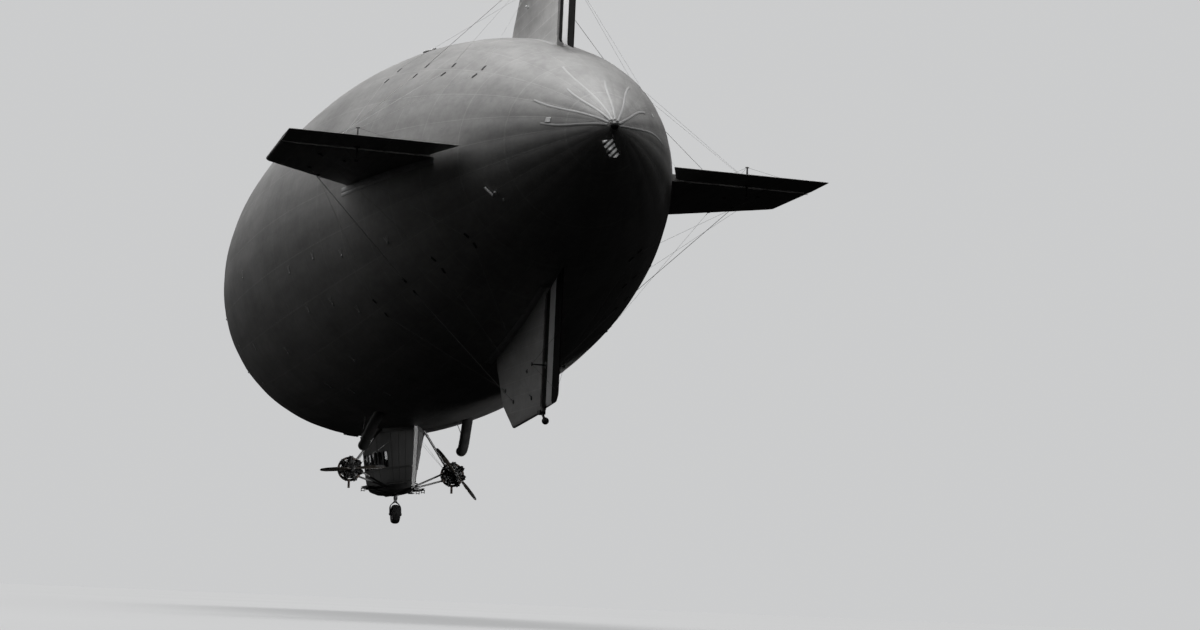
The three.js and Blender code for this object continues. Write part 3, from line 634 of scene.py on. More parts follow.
FLOOR_HEIGHT_MODEL = -6.3
FLOOR_SIZE_MODEL = 1600.0
BACKDROP_COLOUR = (0.60, 0.605, 0.61)
OVERHEAD_STRENGTH = 13.5
OVERHEAD_POWER = 20.0
PORT_STRENGTH = 1.05
PORT_POWER = 9.0
PORT_DIRECTION = (0.6, 0.64, 0.68)
HORIZON_STRENGTH = 0.03
HORIZON_HEIGHT = -0.02
UNDER_STRENGTH = 0.003
FLOOR_GLOW = 0.70


def make_floor():
    bpy.ops.mesh.primitive_plane_add(size=FLOOR_SIZE_MODEL, location=(0, 0, FLOOR_HEIGHT_MODEL))
    floor = bpy.context.object
    floor.name = "floor"
    surface = mottled("floor_paint", grey(0.46), grey(0.5), 0.05, (0.8, 0.95))
    surface.shader.inputs["Emission Color"].default_value = (*BACKDROP_COLOUR, 1)
    surface.shader.inputs["Emission Strength"].default_value = FLOOR_GLOW
    surface.colour(surface.ramp(surface.noise(0.05, 4.0), 0.3, 0.7, grey(0.1), grey(0.12)))
    tree = surface.tree
    seen_from_below = tree.nodes.new("ShaderNodeNewGeometry").outputs["Backfacing"]
    clear = tree.nodes.new("ShaderNodeBsdfTransparent")
    switch = tree.nodes.new("ShaderNodeMixShader")
    surface.link(seen_from_below, switch.inputs[0])
    surface.link(surface.shader.outputs["BSDF"], switch.inputs[1])
    surface.link(clear.outputs["BSDF"], switch.inputs[2])
    surface.link(switch.outputs["Shader"], tree.nodes["Material Output"].inputs["Surface"])
    floor.data.materials.append(surface.material)
    floor.visible_diffuse = False
    floor.visible_glossy = False
    floor.visible_transmission = False


def make_world():
    """A plain backdrop to look at. The light is brightest overhead, weaker from port, faint from below."""
    world = bpy.data.worlds.new("studio")
    bpy.context.scene.world = world
    world.use_nodes = True
    tree = world.node_tree
    nodes, link = tree.nodes, tree.links.new

    def calculate(operation, *values):
        return math_node(tree, operation, *values)

    direction = nodes.new("ShaderNodeTexCoord").outputs["Generated"]
    split = nodes.new("ShaderNodeSeparateXYZ")
    link(direction, split.inputs["Vector"])
    height = split.outputs["Z"]
    overhead = calculate("POWER", calculate("MAXIMUM", height, 0.0), OVERHEAD_POWER)
    towards_port = nodes.new("ShaderNodeVectorMath")
    towards_port.operation = "DOT_PRODUCT"
    link(direction, towards_port.inputs[0])
    towards_port.inputs[1].default_value = Vector(PORT_DIRECTION).normalized()
    port = calculate("POWER", calculate("MAXIMUM", towards_port.outputs["Value"], 0.0), PORT_POWER)
    above_horizon = calculate("GREATER_THAN", height, HORIZON_HEIGHT)
    side = calculate("ADD", calculate("MULTIPLY", port, PORT_STRENGTH), HORIZON_STRENGTH)
    side = calculate("MULTIPLY", side, above_horizon)
    upper = calculate("ADD", calculate("MULTIPLY", overhead, OVERHEAD_STRENGTH), side)
    strength = calculate("ADD", upper, UNDER_STRENGTH)
    light = nodes.new("ShaderNodeBackground")
    light.inputs["Color"].default_value = (1, 1, 1, 1)
    link(strength, light.inputs["Strength"])
    backdrop = nodes["Background"]
    backdrop.inputs["Color"].default_value = (*BACKDROP_COLOUR, 1)
    mix = nodes.new("ShaderNodeMixShader")
    link(nodes.new("ShaderNodeLightPath").outputs["Is Camera Ray"], mix.inputs[0])
    link(light.outputs["Background"], mix.inputs[1])
    link(backdrop.outputs["Background"], mix.inputs[2])
    link(mix.outputs["Shader"], nodes["World Output"].inputs["Surface"])
    bpy.context.scene.view_settings.view_transform = "Standard"


LAMP_BLEND = 0.9
LAMP_RADIUS_MODEL = 1.2


def make_lamp(name, place, target, irradiance, cone_degrees):
    """A soft lamp that gives the irradiance wanted at its target."""
    data = bpy.data.lights.new(name, "SPOT")
    distance = (target - place).length
    data.energy = irradiance * 4 * math.pi * distance ** 2
    data.spot_size = math.radians(cone_degrees)
    data.spot_blend = LAMP_BLEND
    data.shadow_soft_size = LAMP_RADIUS_MODEL
    lamp = bpy.data.objects.new(name, data)
    lamp.location = place
    lamp.rotation_euler = (target - place).to_track_quat("-Z", "Y").to_euler()
    bpy.context.collection.objects.link(lamp)


UPPER_RUDDER_MIDDLE = full(-17.6, 0, 5.4)
CAR_STERN_SIDE = full(1.2, -0.35, -6.75)
make_lamp("upper_rudder_lamp", UPPER_RUDDER_MIDDLE + full(-14, 30, 4), UPPER_RUDDER_MIDDLE, 2.4, 11)
make_lamp("car_stern_lamp", CAR_STERN_SIDE + full(-30, -13, 0.6), CAR_STERN_SIDE, 12.0, 4)
make_floor()
make_world()
make_envelope()
make_stern()

# Nose

NOSE_CAP_EDGE = 22.281
NOSE_CAP_THICKNESS = 0.044
BATTENS = 12
BATTEN_END = 19.9
SPINDLE = [(22.44, 0.0), (22.44, 0.135), (22.5, 0.135), (22.52, 0.12), (22.58, 0.11), (22.6, 0.075),
           (22.63, 0.06), (22.765, 0.06), (22.78, 0.052), (22.78, 0.0)]


def make_nose():
    cap = Sketch()
    steps = 10
    stations = [NOSE_CAP_EDGE + (HULL_LENGTH / 2 - 0.04 - NOSE_CAP_EDGE) * (i / steps)
                for i in range(steps + 1)]
    shell = []
    for x in stations:
        normal = hull_normal(x, 0)
        shell.append((x + normal.x * NOSE_CAP_THICKNESS, hull_radius(x) + normal.z * NOSE_CAP_THICKNESS))
    edge_x, edge_radius = stations[0], hull_radius(stations[0])
    profile = [(edge_x, 0.0), (edge_x, edge_radius), (shell[0][0] - 0.01, shell[0][1] - 0.006), *shell,
               (HULL_LENGTH / 2 + 0.045, 0.0)]
    cap.turned(sized(profile), (0, 0, 0), (1, 0, 0), 96)
    cap.turned(sized(SPINDLE), (0, 0, 0), (1, 0, 0), 32)
    out = hull_radius(NOSE_CAP_EDGE) + 0.03
    for angle in turns(24):
        cap.stud(full(*about_x(NOSE_CAP_EDGE + 0.02, out, angle)),
                 hull_normal(NOSE_CAP_EDGE, math.degrees(angle)), 0.011, 0.006, 0.011, 0.006, 8)
    cap.piece("nose_cap", NOSE_PAINT, slot="nose_metal", replaces=["nose_cone"])

    battens = Sketch()
    for i in range(BATTENS):
        degrees = i * 360 / BATTENS
        angle = math.radians(degrees)
        across = Vector((0, math.cos(angle), -math.sin(angle)))
        count = 16
        rows = []
        for step in range(count + 1):
            x = NOSE_CAP_EDGE + 0.02 + (BATTEN_END - NOSE_CAP_EDGE - 0.02) * step / count
            height = 0.016 * min(1.0, (count - step + 0.6) / 3)
            width = 0.0175 * (1 - 0.35 * step / count)
            base, normal = hull_point(x, degrees, -0.002), hull_normal(x, degrees)
            rows.append([base + across * width * math.cos(turn) + normal * (height + 0.002) * math.sin(turn)
                         for turn in [math.pi * side_step / 6 for side_step in range(7)]])
        battens.loft(rows)
    battens.piece("nose_battens", NOSE_PAINT, slot="nose_metal")

    laces = Sketch()
    for i in range(BATTENS):
        for step in range(1, 6):
            x = NOSE_CAP_EDGE - 0.38 * step
            spread = 2.2 * (1 - step * 0.12)
            middle = i * 360 / BATTENS
            strip_on_hull(laces, [(x, middle - spread), (x, middle + spread)], 0.03, 0.0012)
    for x in (NOSE_CAP_EDGE - 0.1, BATTEN_END - 0.05):
        strip_on_hull(laces, [(x, 360 * step / 96) for step in range(97)], 0.045, 0.0008)
    laces.piece("nose_tapes", TAPE_DOPE, slot="hull_fabric")


make_nose()

# Fins, rudders and elevators: (x, reach from the hull's axis) in the plane of each fin

LEVEL_TOP = [(-11.3, 4.3), (-11.47, 4.9), (-14.0, 7.55), (-18.4, 7.55)]
UPRIGHT_TOP = [(-11.2, 4.3), (-11.46, 5.04), (-12.42, 6.31), (-13.69, 7.03), (-18.4, 6.67)]
FIN_HALF_MODEL = 0.05
FIN_EDGE_HALF_MODEL = 0.014
SLOPE_WIDTH = 0.6
RIB_SPACING = 0.44
FINS = {
    "port": {"turn": 0, "top": LEVEL_TOP, "control": "elevator_port"},
    "upper": {"turn": 90, "top": UPRIGHT_TOP, "control": "rudder_upper"},
    "starboard": {"turn": 180, "top": LEVEL_TOP, "control": "elevator_starboard"},
    "lower": {"turn": 270, "top": UPRIGHT_TOP, "control": "rudder_lower"},
}


def on_fin(turn, x, reach, height):
    """A point of a fin that stands turned about the hull's axis; height is out from the fin's mid-plane."""
    angle = math.radians(turn)
    across, along = math.sin(angle), math.cos(angle)
    return full(x, reach * along - height * across, reach * across + height * along)


def reach_of(top, x):
    for (x0, reach0), (x1, reach1) in zip(top, top[1:]):
        if x1 <= x <= x0:
            return reach0 + (reach1 - reach0) * (x0 - x) / (x0 - x1)
    return top[0][1] if x > top[0][0] else top[-1][1]


def distance_to_edge(top, x, reach):
    best = math.inf
    for (x0, reach0), (x1, reach1) in zip(top, top[1:]):
        span = Vector((x1 - x0, reach1 - reach0))
        offset = Vector((x - x0, reach - reach0))
        share = max(0.0, min(1.0, offset.dot(span) / span.length_squared))
        best = min(best, (offset - span * share).length)
    return best


def swell(distance):
    share = min(1.0, distance / SLOPE_WIDTH)
    return FIN_EDGE_HALF_MODEL + (FIN_HALF_MODEL - FIN_EDGE_HALF_MODEL) * math.sqrt(1 - (1 - share) ** 2)


def rib_dip(reach):
    """Fabric dips a little between the ribs."""
    return 0.0016 * math.sin(math.pi * reach / RIB_SPACING) ** 2


FIN_ROWS = 46
FIN_ROOT_DEPTH = 0.22
ROOT_TAPE_LEAN = math.degrees(math.atan2(0.14, 4.0))


def make_fin(name, turn, top):
    sketch = Sketch()
    front = top[0][0]
    columns = [front + 0.001 - 0.9 * (i / 10) ** 1.4 for i in range(11)]
    columns += [columns[-1] + (FIN_EDGE_X - columns[-1]) * i / 30 for i in range(1, 31)]
    rings = []
    for x in columns:
        x = min(x, front)
        low, high = hull_radius(x) - FIN_ROOT_DEPTH, reach_of(top, x)
        faces = []
        for side in (1, -1):
            line = []
            for k in range(FIN_ROWS + 1):
                reach = low + (high - low) * (1 - (1 - k / FIN_ROWS) ** 1.35)
                half = swell(distance_to_edge(top, x, reach)) - rib_dip(reach)
                line.append(on_fin(turn, x, reach, side * half / SCALE))
            faces.append(line)
        rings.append(faces[0] + faces[1][::-1])
    sketch.loft(rings)
    bmesh.ops.remove_doubles(sketch.mesh, verts=sketch.mesh.verts, dist=0.0002)
    surface = FIN_DOPE_LEVEL if turn % 180 == 0 else FIN_DOPE_UPRIGHT_PAINTED_LIGHT
    sketch.piece(f"{name}_fin_fabric", surface, slot="fin_fabric", replaces=[f"fin_{name}"],
                 smooth_degrees=50)

    tapes = Sketch()
    for side in (1, -1):
        for offset, width in ((0.0, 0.07), (1.6, 0.05)):
            degrees = 90 - turn + ROOT_TAPE_LEAN * side + side * offset
            places = [(front + 0.1 + (FIN_EDGE_X - front - 0.1) * step / 40, degrees) for step in range(41)]
            strip_on_hull(tapes, places, width, 0.0008)
    tapes.piece(f"{name}_fin_root_tapes", TAPE_DOPE, slot="hull_fabric")


CONTROL_NOSE_MODEL = 0.0375
CONTROL_EDGE_MODEL = 0.0068
CONTROL_AFT_X = -18.3
CONTROL_ROWS = 40
HORN_X = HINGE_X - 0.12
HORN_REACH = 5.55
HORN_HEIGHT = 0.47
HORN_EYE = HORN_HEIGHT - 0.015
HORN_BRACE_REACHES = (4.75, 6.3)
FAIRLEAD_X = -15.3
GAP_STRIP_REACHES = (3.7, 5.0)
HINGE_REACHES = (3.85, 4.7, 6.2)


def control_section():
    """A control's half thickness in the model at places along the ship: a round nose, then a thin wedge."""
    section = []
    for step in range(11):
        angle = math.pi / 2 * step / 10
        section.append((HINGE_X + CONTROL_NOSE_MODEL / SCALE * math.cos(angle),
                        CONTROL_NOSE_MODEL * math.sin(angle)))
    for step in range(1, 17):
        share = step / 16
        x = HINGE_X + (CONTROL_AFT_X + 0.015 - HINGE_X) * share
        section.append((x, CONTROL_NOSE_MODEL + (CONTROL_EDGE_MODEL - CONTROL_NOSE_MODEL) * share))
    section.append((CONTROL_AFT_X, CONTROL_EDGE_MODEL * 0.5))
    return section


def control_root(x):
    return 3.56 + (3.0 - 3.56) * ((-16.8 - x) / 1.5) + 0.004


def control_tip(x, upright):
    if not upright:
        return 7.546
    if x > -18.1:
        return 6.72 + (6.62 - 6.72) * (-16.8 - x) / 1.3 - 0.004
    return 6.62 + (6.44 - 6.62) * (-18.1 - x) / 0.2


def make_control(name, turn, upright):
    """A rudder or elevator with its horn, and the cables that come to it from the fin."""
    control = FINS[name]["control"]
    section = control_section()
    lines = []
    one_face, other_face = [(*place, 1) for place in section], [(*place, -1) for place in section[:0:-1]]
    for x, half, side in one_face + other_face:
        low, high = control_root(x), control_tip(x, upright)
        line = []
        for k in range(CONTROL_ROWS + 1):
            reach = low + (high - low) * k / CONTROL_ROWS
            end_round = min(1.0, min(reach - low, high - reach) / 0.03 + 0.55)
            depth = max(0.0, half * end_round - (rib_dip(reach) * 0.6 if half > 0.012 else 0))
            line.append(on_fin(turn, x, reach, side * depth / SCALE))
        lines.append(line)
    sketch = Sketch()
    made = sketch.grid(lines, close_rows=True)
    sketch.cap([line[0] for line in made], flip=True)
    sketch.cap([line[-1] for line in made])
    bmesh.ops.remove_doubles(sketch.mesh, verts=sketch.mesh.verts, dist=0.0002)
    surface, slot = (RUDDER_DOPE, "rudder_fabric") if upright else (FIN_DOPE_LEVEL, "fin_fabric")
    sketch.piece(f"{control}_fabric", surface, body=control, slot=slot, replaces=[control],
                 smooth_degrees=50)

    horn, cables, guides, hinge_line = Sketch(), Sketch(), Sketch(), Sketch()
    for side in (1, -1):
        rings = []
        for step in range(9):
            share = step / 8
            height = 0.05 + (HORN_HEIGHT - 0.05) * share
            chord, thick = 0.075 - 0.035 * share, 0.026 - 0.01 * share
            rings.append([on_fin(turn, HORN_X + chord * math.cos(angle),
                                 HORN_REACH + thick * math.sin(angle),
                                 side * height) for angle in turns(16)])
        horn.loft(rings)
        eye = on_fin(turn, HORN_X, HORN_REACH, side * HORN_EYE)
        across = on_fin(turn, HORN_X, HORN_REACH + 0.05, side * HORN_EYE) - eye
        horn.tube([eye - across, eye + across], 0.009, 12)
        base = on_fin(turn, HORN_X, HORN_REACH, side * 0.062)
        outward = on_fin(turn, HORN_X, HORN_REACH, side * 0.09) - base
        horn.stud(base, outward, 0.05, 0.006, 0.01, 0.03, 20)
        for reach in HORN_BRACE_REACHES:
            horn.tube([eye, on_fin(turn, -18.1, reach, side * 0.017)], 0.0016, 6)

        start = on_fin(turn, FAIRLEAD_X, HORN_REACH, side * 0.10)
        cables.tube([start.lerp(eye, k / 12) for k in range(13)], 0.0018, 6)
        base = on_fin(turn, FAIRLEAD_X + 0.02, HORN_REACH, side * 0.092)
        outward = (on_fin(turn, FAIRLEAD_X + 0.02, HORN_REACH, side * 0.2) - base).normalized()
        guides.turned([(0.0, 0.0), (0.0, 0.035), (0.008, 0.03), (0.02, 0.012), (0.026, 0.0)], base, outward,
                      16)
        strip_reaches = (*GAP_STRIP_REACHES, control_tip(-16.9, upright) - 0.05)
        hinge_line.tube([on_fin(turn, FIN_EDGE_X + 0.03, reach, side * 0.099) for reach in strip_reaches],
                        0.0035, 8)
    for reach in HINGE_REACHES:
        for offset in (-0.05, 0.05):
            hinge_line.tube([on_fin(turn, x, reach + offset, 0) for x in (HINGE_X + 0.09, HINGE_X + 0.078)],
                            0.012, 10)
    horn.piece(f"{control}_horn", TUBE_PAINT, body=control, slot="tube_paint")
    made = cables.piece(f"{control}_cables", WIRE, slot="wire_steel")
    made.parent = None
    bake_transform(made)
    guides.piece(f"{control}_cable_guides", TUBE_PAINT, slot="tube_paint")
    hinge_line.piece(f"{control}_hinge_line", TUBE_PAINT, slot="tube_paint")


def ribbed_dope(name, axis, dark, light):
    """Fin fabric: rib tapes at even spacing along the fin's reach, a spar line, and the blotches and dirt of
    the dope.
    """
    surface = doped_fabric(name, dark, light, seams=False)
    reach = surface.math("ABSOLUTE", surface.axis(axis))
    ribs = surface.line_mask(reach, RIB_SPACING * SCALE, 0.014)
    spars = surface.line_mask(surface.axis("X"), 0.68, 0.012)
    tapes = surface.math("MAXIMUM", ribs, surface.math("MULTIPLY", spars, 0.5))
    base = surface.shader.inputs["Base Color"].links[0].from_socket
    lighter = surface.mix(1.0, base, grey(1.25), "MULTIPLY")
    surface.colour(surface.mix(surface.math("MULTIPLY", tapes, 0.6), base, lighter))
    surface.bump(tapes, 0.0012, 0.7)
    return surface


WHITE_BAND_X = (-17.75, -17.28)


def banded_dope():
    """The rudders: a white band between two dark ones, each running from root to tip. The bands are painted
    stripes and partly painted light: the near-black bands also stand in for the shade at the hinge gap and
    on the rudder's flank, and the bright white band for light shining through the fabric.
    """
    # Near-black, darker than paint: partly painted shade, for the hinge gap and the rudder's flank.
    surface = ribbed_dope("rudder_dope", "Z", grey(0.006), grey(0.012))
    base = surface.shader.inputs["Base Color"].links[0].from_socket
    wavy = surface.math("ADD", surface.axis("X"), surface.math("MULTIPLY", surface.noise(6.0, 3.0), 0.006))
    band_aft, band_fore = (x * SCALE for x in WHITE_BAND_X)
    inside = surface.math("MULTIPLY", surface.math("LESS_THAN", wavy, band_fore),
                          surface.math("GREATER_THAN", wavy, band_aft))
    # The white band's colour with its stains; its brightness is partly painted light, standing in for light
    # shining through the fabric.
    lit_white_band_and_stains = surface.ramp(surface.noise(3.0, 6.0, (1, 1, 0.3)), 0.3, 0.7, grey(0.72), grey(0.9))
    surface.colour(surface.mix(inside, base, lit_white_band_and_stains))
    surface.shader.inputs["Specular IOR Level"].default_value = 0.12
    surface.roughness(surface.noise(5.0, 5.0), 0.7, 0.9)
    return surface


FIN_DOPE_LEVEL = ribbed_dope("fin_dope_level", "Y", grey(0.30, 0.01), grey(0.40, 0.01))
# The upright fins' dope is lighter than the level fins' and the hull's: painted light, standing in for light
# shining through their thin fabric.
FIN_DOPE_UPRIGHT_PAINTED_LIGHT = ribbed_dope("fin_dope_upright_painted_light", "Z", grey(0.46, 0.01), grey(0.60, 0.01))
RUDDER_DOPE = banded_dope()

for fin_name, fin in FINS.items():
    make_fin(fin_name, fin["turn"], fin["top"])
    make_control(fin_name, fin["turn"], fin["turn"] % 180 == 90)

# Stays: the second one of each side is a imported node; the others run beside it

PACKED_STAY_FOOT_X = -13.3
STAY_ANGLE = 42
STAYS = {-10.9: (-12.9, 5.9), PACKED_STAY_FOOT_X: (-13.9, 6.3), -15.3: (-15.9, 6.35), -17.2: (-15.9, 6.35)}


def make_stays():
    wires, fittings, patches = Sketch(), Sketch(), Sketch()
    for fin in FINS.values():
        turn = fin["turn"]
        for lean in (-1, 1):
            for foot_x, (fin_x, fin_reach) in STAYS.items():
                degrees = 90 - turn - lean * STAY_ANGLE
                end = hull_point(foot_x, degrees, 0.02)
                start = on_fin(turn, fin_x, fin_reach, lean * 0.1)
                if foot_x != PACKED_STAY_FOOT_X:
                    wires.tube([start, end], 0.0016, 6)
                along = (start - end).normalized()
                outward = on_fin(turn, fin_x, fin_reach, lean) - on_fin(turn, fin_x, fin_reach, 0)
                fittings.tube([start, start - along * 0.06], 0.0035, 8)
                fittings.turned([(-0.004, 0.0), (-0.004, 0.03), (0.006, 0.03), (0.012, 0.02), (0.014, 0.0)],
                                start, outward, 16)
                slant = 0.083 * lean * math.degrees(1 / hull_radius(foot_x))
                places = [(foot_x + 0.035 * step, degrees + slant * step) for step in (-1, 0, 1)]
                strip_on_hull(patches, places, 0.042, 0.001, 0.004)
    wires.piece("stay_wires", WIRE, slot="wire_steel")
    fittings.piece("stay_fittings", TUBE_PAINT, slot="tube_paint")
    patches.piece("stay_patches", BLACK_PATCH, slot="hull_fabric")


make_stays()

# Handling patches, lamps and valves: (x, degrees from straight up) on the port side

HANDLING_PLACES = [(-13.6, 117), (-10.4, 113), (-9.5, 132), (-8.0, 109), (-8.0, 125), (-5.6, 123),
                   (-5.2, 109), (-6.0, 144), (-1.3, 147), (-2.65, 153), (-4.7, 161), (-0.3, 130),
                   (4.5, 123), (2.4, 100), (8.4, 118), (8.4, 134), (12.4, 128), (14.2, 128), (12.4, 104),
                   (14.2, 104)]
POST_X = -17.1
FIN_LAMP_PLACE = (-13.44, 0.088, 5.37)
VALVES = (
    ("gas_valve_port", -9.36, 24, 0.22, BARE_METAL, "nose_metal"),
    ("gas_valve_starboard", -9.36, -24, 0.22, BARE_METAL, "nose_metal"),
    ("air_valve_forward", 9.4, 174, 0.3, DARK_METAL, "scoop_fabric"),
)
VALVE_HEIGHT_MODEL = 0.024
VALVE_SHARES = ((0.55, 0.98), (0.7, 0.9), (0.7, 0.78), (0.45, 0.74), (0.45, 0.66), (0.85, 0.58), (1, 0.2),
                (1, 0))


def make_handling_patches():
    patches, clips = Sketch(), Sketch()
    for x, port_degrees in HANDLING_PLACES:
        for degrees in (port_degrees, -port_degrees):
            upward = 1 if degrees < 0 else -1
            for finger in (-1, 0, 1):
                places = [(x + 0.05 * finger * step, degrees + upward * step) for step in (0, 1.2, 2.4)]
                strip_on_hull(patches, places, 0.03, 0.001, 0.002)
            clips.turned([(0.0, 0.0), (0.0, 0.02), (0.008, 0.019), (0.013, 0.012), (0.015, 0.0)],
                         hull_point(x, degrees), hull_normal(x, degrees), 16)
    patches.piece("handling_patches", TAPE_DOPE, slot="hull_fabric")
    # The clips' white is a painted highlight, standing in for the glint of their bare metal.
    clips.piece("handling_clips", WHITE_PAINT_AND_GLINT, slot="hull_fabric")


def make_posts_and_lamps():
    posts, globes = Sketch(), Sketch()
    for sign in (1, -1):
        posts.rod((POST_X, 3.2 * sign, 0.3), (POST_X, 3.23 * sign, 0.66), 0.017, 12)
        posts.rod((POST_X, 3.23 * sign, 0.64), (POST_X, 3.23 * sign, 0.67), 0.018, 12)
        globe = [(0.0, 0.0), (0.0, 0.024), (0.006, 0.024)]
        globe += [(0.03 - 0.024 * math.cos(angle), 0.028 * math.sin(angle))
                  for angle in [math.pi * step / 12 for step in range(3, 13)]]
        x, y, z = FIN_LAMP_PLACE
        globes.turned(globe, full(x, y * sign, z), (0, sign, 0), 24)
    globes.piece("fin_lamps", WHITE_PAINT_AND_GLINT, slot="fin_fabric")
    posts.piece("cable_posts", BLACK_PAINT, slot="tube_paint")


def make_valve(name, x, degrees, radius, surface, slot):
    """A round valve: a rim with bolts, a groove and a domed plate with eight stiffeners."""
    sketch = Sketch()
    centre, normal = hull_point(x, degrees, 0.0), hull_normal(x, degrees)
    rim, height = radius * SCALE, VALVE_HEIGHT_MODEL
    profile = [(-0.02, 0.0), (-0.02, rim * 0.98)]
    profile += [(height * up, rim * out) for up, out in VALVE_SHARES]
    sketch.turned(profile, centre, normal, 48)
    sideways = normal.cross(Vector((1, 0, 0))).normalized()
    forward = sideways.cross(normal)
    for angle in turns(16):
        spot = centre + (sideways * math.cos(angle) + forward * math.sin(angle)) * rim * 0.84
        sketch.stud(spot, normal, 0.006, height * 0.9, height, 0.003)
    for angle in turns(8):
        outward = sideways * math.cos(angle) + forward * math.sin(angle)
        sketch.tube([centre + normal * height * 0.8 + outward * 0.01,
                     centre + normal * height * 0.75 + outward * rim * 0.6], 0.0022, 6)
    sketch.piece(f"{name}_plate", surface, slot, replaces=[name])


make_handling_patches()
make_posts_and_lamps()
for valve in VALVES:
    make_valve(*valve)


# The pennant: its four corners, its staff and its stripes

HOIST_TOP, FLY_TOP = Vector((-22.54, 0.03, -0.33)), Vector((-22.62, 0.37, -0.45))
HOIST_LOW, FLY_LOW = Vector((-22.54, -0.175, -0.75)), Vector((-22.6, 0.13, -0.83))
PENNANT_HALF_MODEL = 0.0006
STRIPE_PITCH_MODEL = 0.084
STRIPE_WIDTH_MODEL = 0.044
STAFF_BEND = full(-22.54, 0.04, -0.3)
STAFF_FOOT = full(-22.54, -0.18, -0.76)


def pennant_surface():
    surface = Surface("pennant_cloth", roughness=0.8)
    slant = surface.math("ADD", surface.axis("Z"), surface.axis("Y"))
    stripes = surface.line_mask(slant, STRIPE_PITCH_MODEL, STRIPE_WIDTH_MODEL)
    light = surface.ramp(surface.noise(20.0, 5.0), 0.3, 0.7, grey(0.7), grey(0.88))
    dark = surface.ramp(surface.noise(24.0, 5.0), 0.3, 0.7, grey(0.02), grey(0.04))
    surface.colour(surface.mix(stripes, dark, light))
    surface.roughness(surface.noise(30.0), 0.7, 0.9)
    surface.bump(surface.noise(420.0, 2.0), 0.0005)
    return surface


def make_pennant():
    """Striped cloth laced to the staff under the stern, with its folds."""
    across, down = 30, 34
    forward = (HOIST_LOW - HOIST_TOP).cross(FLY_TOP - HOIST_TOP).normalized()
    if forward.x < 0:
        forward = -forward
    rings = []
    for i in range(down + 1):
        v = i / down
        front, back = [], []
        for k in range(across + 1):
            u = k / across
            spot = HOIST_TOP.lerp(FLY_TOP, u).lerp(HOIST_LOW.lerp(FLY_LOW, u), v)
            wave = 0.016 * min(1.0, u * 2.5) * math.sin(5.2 * u + 1.8 * v)
            ripple = 0.006 * u * math.sin(14 * v + 4 * u)
            sag = Vector((0, 0, -0.03 * math.sin(math.pi * u) * (0.3 + v)))
            centre = full(*(spot + forward * (wave + ripple) + sag))
            front.append(centre + forward * PENNANT_HALF_MODEL)
            back.append(centre - forward * PENNANT_HALF_MODEL)
        rings.append(front + back[::-1])
    sketch = Sketch()
    sketch.loft(rings)
    piece = sketch.piece("pennant", pennant_surface(), slot="pennant_cloth", replaces=["stern_pennant"])

    staff = Sketch()
    staff.tube(smooth_path([full(-22.375, 0.002, -0.12), full(-22.5, 0.03, -0.25), STAFF_BEND,
                            full(-22.54, 0.0, -0.39), STAFF_FOOT], 24), 0.0078, 12)
    along = (STAFF_FOOT - STAFF_BEND).normalized() * 0.005
    for share in (0.12, 0.4, 0.68, 0.95):
        spot = STAFF_BEND.lerp(STAFF_FOOT, share)
        staff.tube([spot - along, spot + along], 0.0105, 12)
    staff.piece("pennant_staff_tube", BLACK_PAINT, slot="tube_paint", replaces=["pennant_staff"])


make_pennant()

# Power plants, in full-size metres about the crankshaft's axis X until they are set down in their places

ENGINE_X, ENGINE_Y, ENGINE_Z = 2.07, 1.85, -7.53
CYLINDERS = 7
COOLING_FINS = 13
ROCKER_HALF = Vector((0.045, 0.019, 0.02))
PROPELLER_X = 1.575
PROPELLER_RADIUS = 1.16
PROPELLER_TURNS = {"port": 84, "starboard": -41}
MOUNT_X = 2.39
MOUNT_HALF = 0.07
CASE_END = MOUNT_X - MOUNT_HALF - ENGINE_X - 0.001
CASE = [(CASE_END, 0.0), (CASE_END, 0.2), (0.13, 0.2), (0.12, 0.178), (0.07, 0.17), (0.065, 0.19),
        (-0.075, 0.19), (-0.08, 0.172), (-0.12, 0.165), (-0.13, 0.195), (-0.16, 0.195), (-0.175, 0.165),
        (-0.21, 0.155), (-0.27, 0.12), (-0.33, 0.095), (-0.335, 0.075), (-0.355, 0.07), (-0.36, 0.032),
        (-0.61, 0.03), (-0.618, 0.022), (-0.618, 0.0)]
BAFFLE = [(0.055, 0.188), (0.055, 0.335), (0.063, 0.335), (0.063, 0.188)]
IGNITION_X, IGNITION_RADIUS = -0.14, 0.245
EXHAUST_X, EXHAUST_RADIUS = 0.17, 0.39
NACELLE_X = MOUNT_X + MOUNT_HALF - ENGINE_X + 0.001
NACELLE = [(0.0, 0.0), (0.0, 0.235), (0.02, 0.242), (0.1, 0.247), (0.2, 0.249), (0.21, 0.252),
           (0.23, 0.252), (0.24, 0.248), (0.32, 0.243), (0.42, 0.228), (0.52, 0.198), (0.6, 0.158),
           (0.66, 0.108), (0.69, 0.06), (0.7, 0.0)]


def set_down(sketch, place, *words, **options):
    """Makes a piece of a sketch in full-size metres, and moves its mesh to a place."""
    sketch.mesh.transform(Matrix.Scale(SCALE, 4))
    made = sketch.piece(*words, **options)
    made.data.transform(place)


